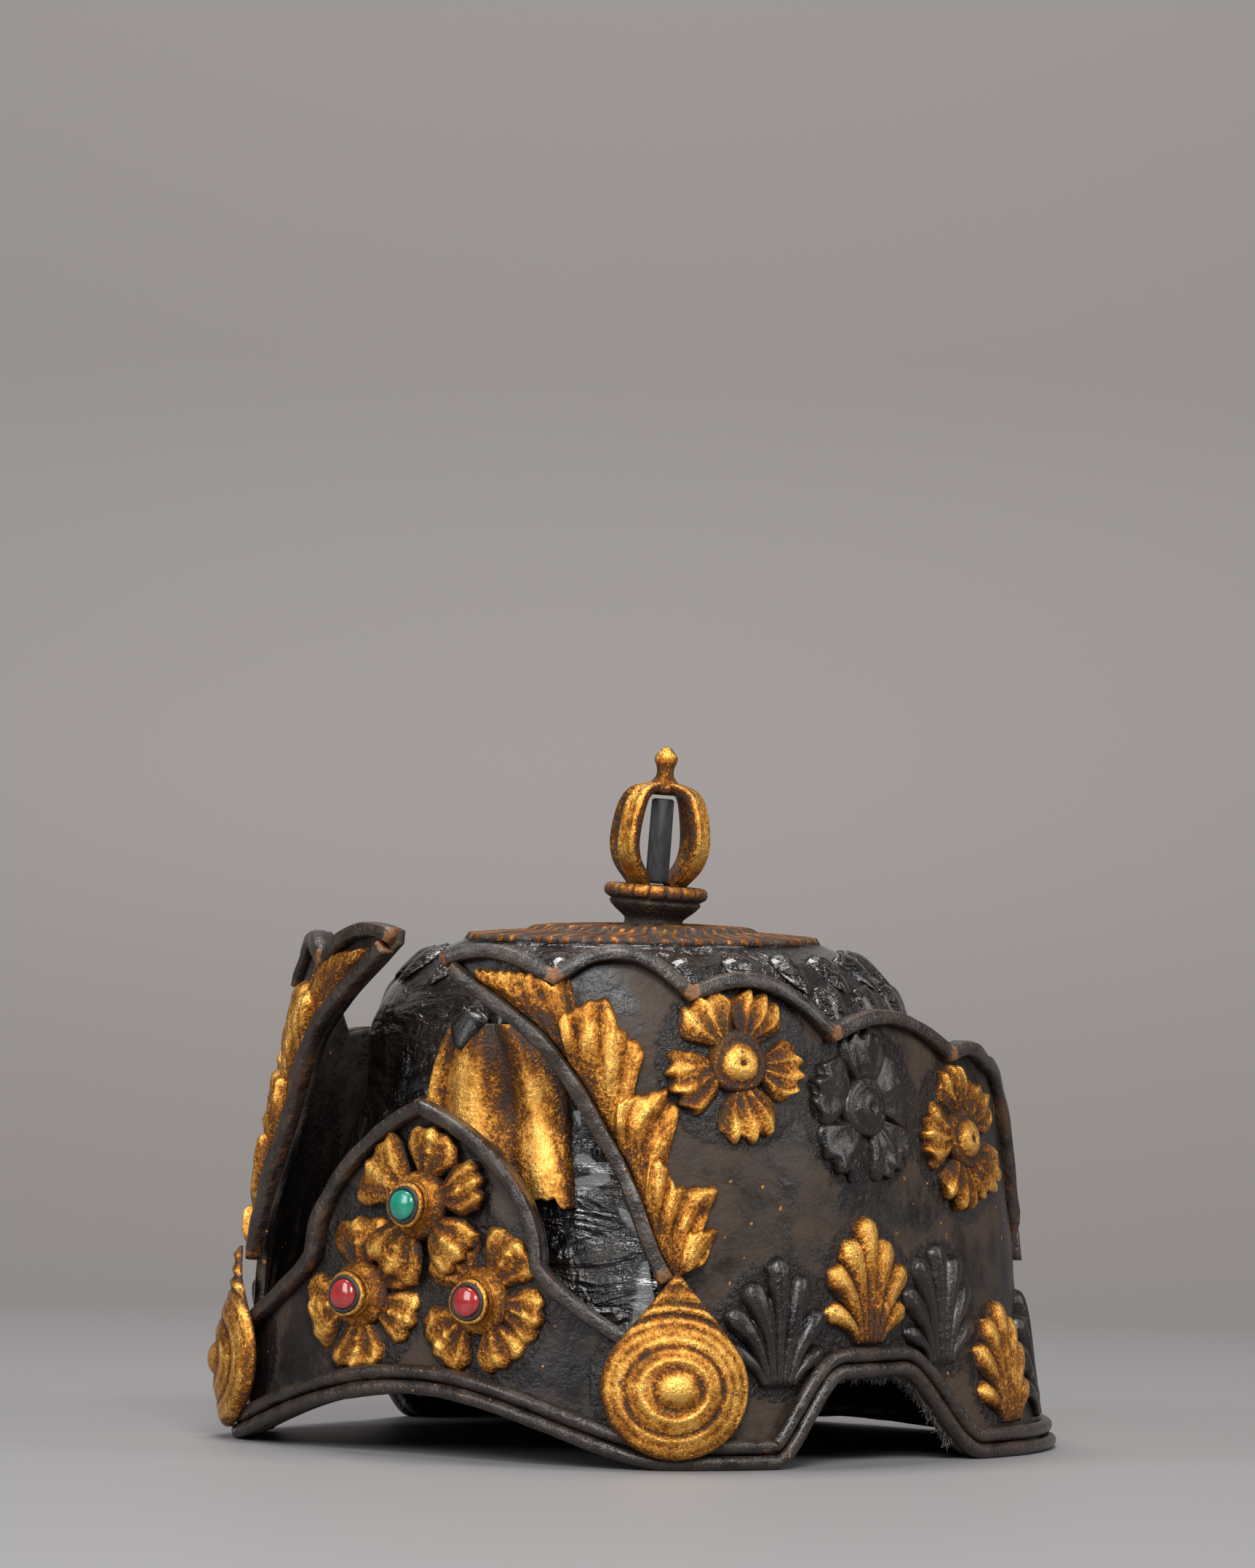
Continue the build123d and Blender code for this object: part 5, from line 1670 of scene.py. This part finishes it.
class CROWN_OT_cap(bpy.types.Operator):
    """Make the inner cap and the lotus plate on its top"""

    bl_idname = "crown.cap"
    bl_label = "Cap"

    def execute(self, context):
        dent = context.scene.crown_sizes.dent / MM * 2.2
        turns = np.arange(240) * 1.5
        outer = cap_grid(turns, 0.0, 64, dent)
        inner = cap_grid(turns, -CAP_THICKNESS, 24, dent)
        inner[-1] = inner[-1] - np.array([0.0, 0.0, CAP_THICKNESS])
        shell = Shell()
        first = shell.rows(outer)
        second = shell.rows(inner)
        shell.quads(first, True)
        shell.quads(second[:, ::-1], True)
        shell.join(second[0], first[0], True)
        for rows, height, turned in ((first, CAP[2], False), (second, CAP[2] - CAP_THICKNESS, True)):
            tip = shell.rows([[0.0, 0.0, height]])
            shell.fan(tip[0], rows[-1], True, turned=not turned)
        make_piece("cap_look", [shell], "cap_lacquer")

        spokes = 240
        angles = np.arange(spokes) * 360.0 / spokes
        shares = np.linspace(0.06, 1.0, 46)
        across = CAP[0] / 2.0 * CAP_ROWS[-1][1] + 2.0
        length_half = CAP[1] / 2.0 * CAP_ROWS[-1][2] + 2.0
        petals = np.abs(np.sin(np.radians(angles * 8.0)))
        scallop = 0.95 + 0.05 * petals**0.6
        x = shares[:, None] * across * scallop * np.sin(np.radians(angles))
        y = -shares[:, None] * length_half * scallop * np.cos(np.radians(angles))
        inner_petals = np.abs(np.cos(np.radians(angles * 8.0)))
        ridge = np.where(shares[:, None] > 0.62, petals**0.5, inner_petals**0.5)
        step = 1.2 * smooth((0.66 - shares) / 0.06)[:, None]
        veins = 0.22 * np.sin(np.radians(angles) * 66.0 + 4.0 * np.sin(shares[:, None] * 9.0))
        dome = 2.4 * (1.0 - shares[:, None] ** 2)
        out = 0.4 + dome + step + 0.9 * ridge * smooth(shares / 0.3)[:, None] + veins
        out = np.where(shares[:, None] > 0.985, -0.3, out)
        z = CAP[2] + out
        # Lift is higher on the plate's petal ridges, a painted highlight, and follows its veins in paler
        # and darker lines.
        lift = np.clip(0.16 + 0.50 * ridge * shares[:, None] ** 0.4 + 1.9 * veins, 0.0, 1.0)
        rings = np.stack([x, y, z], -1)
        plate = lid((0.0, 0.0, CAP[2] + 3.6), rings, (0.0, 0.0, CAP[2] - 0.5), lift)
        make_piece("cap_lotus_look", [plate], "rubbed_gilding")
        return {"FINISHED"}


def flat_place(along, up, out):
    """Places millimetres along, up and out in a flat frame."""
    return np.stack(np.broadcast_arrays(along, up, out), -1)


class CROWN_OT_scales(bpy.types.Operator):
    """Set rows of glossy leaf scales round the shoulder of the cap"""

    bl_idname = "crown.scales"
    bl_label = "Leaf scales"

    def execute(self, context):
        count = context.scene.crown_sizes.scales
        points = []
        normals = []
        ups = []
        for height, drift, bare in ((134.0, 0.0, 0.0), (124.0, 0.5, 30.0), (112.0, 0.0, 75.0)):
            turns = (np.arange(count) + drift) * 360.0 / count
            turns = turns[from_front(turns + 25.0) >= bare]
            here = on_cap(turns, height, 0.15)
            out = on_cap(turns, height, 1.15) - here
            down = on_cap(turns, height - 3.0, 0.15) - on_cap(turns, height + 3.0, 0.15)
            side = np.cross(down, out)
            normal = np.cross(side, down)
            normal *= np.sign(np.sum(normal * out, axis=1))[:, None]
            points.extend(here)
            normals.extend(normal)
            ups.extend(-down + 0.35 * side / np.linalg.norm(side, axis=1)[:, None])

        def rise(u, v):
            return 0.4 + 2.0 * (1.0 - np.abs(v) ** 1.6) * np.sin(pi * np.clip(u, 0.05, 1.0) ** 0.7)

        widths = ((0.0, 4.5), (0.3, 6.2), (0.6, 5.6), (0.85, 3.2), (1.0, 0.7))
        spine = ((0.0, 6.5), (0.4, 0.0), (0.0, -9.0))
        scale = leaf(flat_place, spine, widths, rise, lambda u, v: 0.6 + 0.0 * u, 13, 11, 0.6)
        shape = shape_object("scale_shape", [scale])
        values = {"Shape": shape, "Scale": 1.0, "Finish": material("cap_lacquer")}
        facing = facing_angles(normals, ups)
        grow("cap_scales", points, [], strew_tree("Leaf scales", 0.08), values, [], "cap_lacquer", facing)
        bpy.data.objects.remove(shape)
        return {"FINISHED"}


# Folds of the drape: share across, half width, depth
FOLDS = ((0.08, 0.080, 3.2), (0.38, 0.20, 4.3), (0.61, 0.050, 1.3), (0.83, 0.14, 4.0))


class CROWN_OT_drape(bpy.types.Operator):
    """Fold the gilt drape on the front of the cap, with its small leaf"""

    bl_idname = "crown.drape"
    bl_label = "Drape"

    def execute(self, context):
        down = np.linspace(0.0, 1.0, 64)
        across = np.linspace(0.0, 1.0, 90)
        left, right = between(DRAPE_TABLE, down)
        turns = left[:, None] + (right - left)[:, None] * across
        ragged = 0.020 * np.sin(across * 21.0) + 0.016 * np.sin(across * 47.0)
        ragged = ragged + 0.010 * np.sin(across * 95.0)
        heights = DRAPE_TOP - DRAPE_LENGTH * down[:, None] * (0.93 + 0.07 * across + ragged)
        bend = across + 0.03 * np.sin(down[:, None] * 5.0)
        folds = np.zeros((64, 90))
        for centre, width, depth in FOLDS:
            folds = np.maximum(folds, depth * np.exp(-(np.abs((bend - centre) / width) ** 2.2)))
        folds = (0.5 + folds) * (0.55 + 0.45 * smooth(down / 0.4)[:, None])
        threads = 0.022 * np.sin(bend * 52.0 + 3.0 * np.sin(down[:, None] * 4.0))
        out = 0.8 + folds + threads
        edge = np.clip(np.minimum(across, 1.0 - across) / 0.035, 0.0, 1.0) ** 0.5
        out = (out + 0.6) * edge - 0.6
        # Lift paints a highlight on the crests of the folds and shade in the creases between them.
        lift = np.clip(-0.02 + folds / 5.4 + 3.0 * threads, 0.0, 1.0)
        front = on_cap(turns, heights, out)
        back = on_cap(turns, heights, np.minimum(out - 0.7, -0.2))
        make_piece("drape_look", [slab(front, back, lift)], "gilding")

        def place(along, up, out):
            turn, height = DRAPE_LEAF_PLACE
            scale = np.linalg.norm(on_cap(turn + 0.5, height) - on_cap(turn - 0.5, height))
            return on_cap(turn + along / scale, height + up, out)

        def rise(u, v):
            return 4.4 + 0.5 * (1.0 - v**2) + 0.3 * np.abs(v) ** 4

        widths = ((0.0, 2.8), (0.15, 5.3), (0.4, 5.5), (0.7, 3.8), (0.9, 1.8), (1.0, 0.5))
        spine = ((0.0, 5.0), (0.0, 0.0), (0.0, -5.8))
        shell = leaf(place, spine, widths, rise, lambda u, v: 0.3 + 0.5 * np.abs(v), 18, 13, -1.5)
        make_piece("drape_leaf_look", [shell], "moulded_lacquer")
        return {"FINISHED"}


# Finial in its own leaning frame: foot on the cap, height of the prongs' foot, and the cage over it
FINIAL_FOOT = (0.0, 4.5, 142.8)
FINIAL_LEAN = 3.4
FINIAL_BASE = 14.3
CAGE_HEIGHT = 29.0
PRONG_FOOT = 6.85
PRONG_BELLY = 14.1
PRONG_TOP = 1.2
PRONG_HALF_WIDTH = 3.1


def finial_place():
    """A function that places the finial's own leaning frame."""
    back = Matrix.Rotation(radians(-FINIAL_LEAN * 0.6), 3, "X")
    lean = np.array(back @ Matrix.Rotation(radians(FINIAL_LEAN * 0.8), 3, "Y"))
    foot = np.array(FINIAL_FOOT)

    def place(x, y, z):
        return flat_place(x, y, z) @ lean.T + foot

    return place


def ring_points(place, radius, angles, height):
    """A ring of points that starts at the finial's own +X."""
    return place(radius * np.cos(np.radians(angles)), radius * np.sin(np.radians(angles)), height)


def prong_shell(place, quarter, seed):
    """One bowed prong with raised edges and a groove down its face."""
    low = np.array([PRONG_FOOT, FINIAL_BASE])
    belly = np.array([PRONG_BELLY, FINIAL_BASE + CAGE_HEIGHT * 0.50])
    top = np.array([PRONG_TOP, FINIAL_BASE + CAGE_HEIGHT - 1.0])
    u = np.linspace(0.0, 1.0, 60)
    keys = np.linspace(0.0, 1.0, 5)
    lower = (low + belly) / 2.0 + (2.6, -0.6)
    upper = (belly + top) / 2.0 + (2.9, 3.4)
    stations = np.array([low, lower, belly, upper, top])
    table = soft_table([(key, *station) for key, station in zip(keys, stations)], 20)
    radius, height = between(table, u)
    run, climb = heading(radius, height)
    taper = 1.0 - 0.30 * smooth((u - 0.6) / 0.4)
    half = PRONG_HALF_WIDTH * taper
    profile = (
        (-1.0, 0.9), (-0.92, 1.45), (-0.70, 1.80), (-0.50, 1.70), (0.0, 1.75), (0.50, 1.70), (0.70, 1.80),
        (0.92, 1.45), (1.0, 0.9), (1.0, -1.2), (0.6, -1.7), (0.0, -1.8), (-0.6, -1.7), (-1.0, -1.2),
    )
    # Lift of the prong's section: high on the raised edges, a painted highlight, and lowest on its back
    # towards the rod, painted shade.
    tones = (0.2, 0.5, 0.75, 0.55, 0.60, 0.55, 0.75, 0.5, 0.2, 0.1, 0.1, 0.1, 0.1, 0.1)
    angle = radians(quarter)
    sections = []
    for side, out in profile:
        r = radius + climb * out * taper
        z = height - run * out * taper
        sideways = side * half
        x = r * cos(angle) - sideways * sin(angle)
        y = r * sin(angle) + sideways * cos(angle)
        sections.append(place(x, y, z))
    sections = np.stack(sections, 1)
    grit = 0.12 * wander(sections, 3.0, seed)
    return bar(sections, np.clip(np.array(tones) + 0.2 + grit, 0.0, 1.0))


class CROWN_OT_finial(bpy.types.Operator):
    """Make the half vajra: lotus pedestal, prongs, rod and knob"""

    bl_idname = "crown.finial"
    bl_label = "Finial"

    def execute(self, context):
        place = finial_place()
        spokes = 216
        angles = np.arange(spokes) * 360.0 / spokes
        teeth = np.abs(np.sin(np.radians(angles * 9.0)))
        notch = 1.0 - 0.095 * np.exp(-((teeth / 0.24) ** 2))
        bowl = np.abs(np.sin(np.radians(angles * 5.0 + 20.0))) ** 0.6
        # Radius, height, toothed and swollen shares and lift of each ring from the foot up; the low lift of
        # the waist is painted shade and the high lift on top of the toothed ring a painted highlight, and
        # lift is lowered in lines at the notch angles, painted shade in the notches.
        rows = (
            (9.2, -1.6, 0.0, 0.0, 0.3), (9.3, 0.2, 0.0, 0.0, 0.5), (9.4, 1.2, 0.0, 0.0, 0.9),
            (8.9, 2.0, 0.0, 0.0, 0.35), (8.2, 3.2, 0.0, 0.0, 0.1), (8.3, 4.4, 0.0, 0.3, 0.1),
            (9.6, 5.6, 0.0, 0.8, 0.15), (11.2, 6.9, 0.0, 1.0, 0.2), (12.4, 8.2, 0.0, 1.0, 0.25),
            (12.9, 9.0, 0.0, 0.6, 0.4), (12.5, 9.5, 0.0, 0.0, 0.1), (13.2, 9.9, 0.3, 0.0, 0.2),
            (14.3, 10.6, 1.0, 0.0, 0.45), (14.7, 11.6, 1.0, 0.0, 0.65), (14.5, 12.9, 1.0, 0.0, 0.85),
            (13.7, 13.7, 1.0, 0.0, 0.95), (12.4, 13.9, 0.6, 0.0, 0.6), (9.0, 13.8, 0.0, 0.0, 0.2),
        )
        rings = []
        lifts = []
        for radius, height, toothed, swollen, lift in rows:
            wide = radius * (1.0 - toothed * (1.0 - notch)) + 0.7 * swollen * (bowl - 0.6)
            rings.append(ring_points(place, wide, angles, height))
            lifts.append(np.clip(1.15 * lift * notch**8 + 0.1 * swollen * bowl, 0.0, 1.0))
        rings = np.stack(rings[::-1])
        body = lid(place(0.0, 0.0, 13.8), rings, place(0.0, 0.0, -1.6), np.stack(lifts[::-1]))
        make_piece("finial_pedestal_look", [body], "rubbed_gilding")

        shells = [prong_shell(place, quarter, 60 + quarter) for quarter in (0, 90, 180, 270)]
        top = FINIAL_BASE + CAGE_HEIGHT
        knob = (
            (0.0, 9.9), (1.5, 9.2), (2.9, 7.6), (3.5, 6.6), (3.3, 5.4), (2.7, 4.0), (2.35, 2.6), (2.6, 1.2),
            (3.4, 0.2), (4.6, -1.0), (5.4, -2.6), (3.4, -4.0),
        )
        # Lift of the knob's rings: high on its top, a painted highlight, and lower through its neck and
        # lowest at its foot, painted shade.
        tones = (0.9, 0.9, 0.95, 0.8, 0.55, 0.5, 0.4, 0.5, 0.6, 0.5, 0.4, 0.1)
        facets = np.arange(32) * 360.0 / 32
        facet_cut = 1.0 - 0.06 * np.abs(np.sin(np.radians(facets * 3.0)))
        ring_rows = []
        for radius, height in knob[1:]:
            wide = radius * (facet_cut if height > 3.0 else 1.0)
            ring_rows.append(ring_points(place, wide, facets, top + height))
        lifts = np.array(tones)[1:, None] * np.ones(32)
        tip = place(0.0, 0.0, top + knob[0][1])
        foot = place(0.0, 0.0, top + knob[-1][1])
        shells.append(lid(tip, np.stack(ring_rows), foot, lifts))
        make_piece("finial_prongs_look", shells, "gilt_metal")

        rod = ((0.0, 24.0), (2.6, 24.0), (3.15, 23.5), (3.25, 12.0), (3.25, 1.0), (3.2, 0.1), (2.6, 0.0))
        shell = lathe(place, [(radius, FINIAL_BASE + height) for radius, height in rod], 32)
        make_piece("finial_rod_look", [shell], "dark_wood")
        return {"FINISHED"}


# Stage

# Softboxes: place aside, behind and above the crown, size, power and tint
LIGHTS = (
    ("key_box", (0.15, -1.35, 1.25), (0.62, 0.38), 24.0, (1.0, 0.99, 0.97)),
    ("front_box", (-0.25, -2.0, 1.10), (1.0, 0.5), 15.0, (0.98, 0.99, 1.0)),
    ("overhead_box", (-0.10, 0.15, 1.35), (0.50, 0.36), 15.0, (1.0, 0.985, 0.96)),
    ("left_box", (-1.25, -0.75, 0.75), (0.5, 1.0), 11.0, (0.97, 0.985, 1.0)),
    ("right_box", (1.45, -0.35, 0.85), (0.5, 1.0), 11.0, (1.0, 0.98, 0.95)),
)

# Camera: turn, roll, focal length and picture height in pixels, distance, height and aim aside
VIEW_TURN = 38.0
VIEW_ROLL = 0.0192
FOCAL_PIXELS = 12690.0
PICTURE_PIXELS = 2156.0
SENSOR = 36.0
VIEW_DISTANCE = 2.6
VIEW_HEIGHT = 0.185
VIEW_ASIDE = 0.0051


def area_light(name, place, target, size, power, tint):
    """A softbox that faces a target."""
    lamp = bpy.data.lights.new(name, "AREA")
    lamp.shape = "RECTANGLE"
    lamp.size, lamp.size_y = size
    lamp.energy = power
    lamp.color = tint
    light = bpy.data.objects.new(name, lamp)
    bpy.context.scene.collection.objects.link(light)
    light.location = place
    light.rotation_euler = (Vector(target) - Vector(place)).to_track_quat("-Z", "Y").to_euler()


class CROWN_OT_stage(bpy.types.Operator):
    """Set the floor, the backdrop, the lights and the camera"""

    bl_idname = "crown.stage"
    bl_label = "Stage"

    def execute(self, context):
        azimuth = radians(VIEW_TURN)
        toward = Vector((sin(azimuth), -cos(azimuth), 0.0))
        right = Vector((cos(azimuth), sin(azimuth), 0.0))
        up = Vector((0.0, 0.0, 1.0))
        origin = Vector(SHIFT)
        finish = context.scene.crown_finish

        context.scene.view_settings.view_transform = "Standard"
        bend = 0.35
        start = finish.floor_end
        stations = [(-3.0, 0.0), (start, 0.0)]
        for step in range(1, 25):
            angle = step / 24.0 * pi / 2.0
            stations.append((start + bend * sin(angle), bend * (1.0 - cos(angle))))
        stations.append((start + bend, 3.0))
        points = []
        for sideways in (-4.0, 4.0):
            points.extend((sideways, away, height) for away, height in stations)
        count = len(stations)
        faces = [(i, i + count, i + count + 1, i + 1) for i in range(count - 1)]
        mesh = bpy.data.meshes.new("studio_floor")
        mesh.from_pydata(points, [], faces)
        mesh.polygons.foreach_set("use_smooth", np.ones(len(faces), bool))
        mesh.materials.append(material("studio_floor"))
        floor = bpy.data.objects.new("studio_floor", mesh)
        floor.rotation_euler = (0.0, 0.0, azimuth)
        context.scene.collection.objects.link(floor)

        def at(aside, away, height):
            return origin + right * aside - toward * away + up * height

        middle = at(0.0, 0.0, 0.09)
        for name, place, size, power, tint in LIGHTS:
            area_light(name, at(*place), middle, size, power, tint)
        world = bpy.data.worlds.new("studio")
        world.use_nodes = True
        graph = Graph(world.node_tree)
        sky = graph.node("ShaderNodeBackground", None, {0: (0.42, 0.43, 0.45, 1.0), 1: 0.24}).out(0)
        graph.node("ShaderNodeOutputWorld", None, {0: sky})
        context.scene.world = world

        lens = bpy.data.cameras.new("camera")
        lens.lens = FOCAL_PIXELS / PICTURE_PIXELS * SENSOR
        lens.sensor_width = SENSOR
        lens.clip_start = 0.1
        lens.clip_end = 30.0
        camera = bpy.data.objects.new("camera", lens)
        context.scene.collection.objects.link(camera)
        location = origin + toward * VIEW_DISTANCE + up * VIEW_HEIGHT
        target = origin - right * VIEW_ASIDE + up * VIEW_HEIGHT
        forward = (target - location).normalized()
        level = forward.cross(up).normalized()
        across = level * cos(VIEW_ROLL) + up * sin(VIEW_ROLL)
        upward = up * cos(VIEW_ROLL) - level * sin(VIEW_ROLL)
        facing = Matrix((across, upward, -forward)).transposed().to_4x4()
        camera.matrix_world = Matrix.Translation(location) @ facing
        context.scene.camera = camera
        return {"FINISHED"}


class CROWN_PT_panel(bpy.types.Panel):
    """Buttons and settings of the crown"""

    bl_idname = "CROWN_PT_panel"
    bl_label = "Ritual crown"
    bl_space_type = "VIEW_3D"
    bl_region_type = "UI"
    bl_category = "Crown"

    def draw(self, context):
        for operator in OPERATORS:
            self.layout.operator(operator.bl_idname)
        for group in (context.scene.crown_sizes, context.scene.crown_finish):
            for name in group.bl_rna.properties.keys():
                if name not in ("rna_type", "name"):
                    self.layout.prop(group, name)


OPERATORS = (
    CROWN_OT_panels,
    CROWN_OT_rims,
    CROWN_OT_hem_cords,
    CROWN_OT_fibres,
    CROWN_OT_flowers,
    CROWN_OT_stones,
    CROWN_OT_palmettes,
    CROWN_OT_bosses,
    CROWN_OT_acanthus,
    CROWN_OT_cap,
    CROWN_OT_scales,
    CROWN_OT_drape,
    CROWN_OT_finial,
    CROWN_OT_stage,
)
CLASSES = (CrownSizes, CrownFinish, *OPERATORS, CROWN_PT_panel)


def register():
    for kind in CLASSES:
        bpy.utils.register_class(kind)
    bpy.types.Scene.crown_sizes = PointerProperty(type=CrownSizes)
    bpy.types.Scene.crown_finish = PointerProperty(type=CrownFinish)


def unregister():
    del bpy.types.Scene.crown_finish
    del bpy.types.Scene.crown_sizes
    for kind in reversed(CLASSES):
        bpy.utils.unregister_class(kind)


def main():
    """Makes every piece."""
    register()
    for operator in OPERATORS:
        group, name = operator.bl_idname.split(".")
        getattr(getattr(bpy.ops, group), name)()


if __name__ == "__main__":
    main()
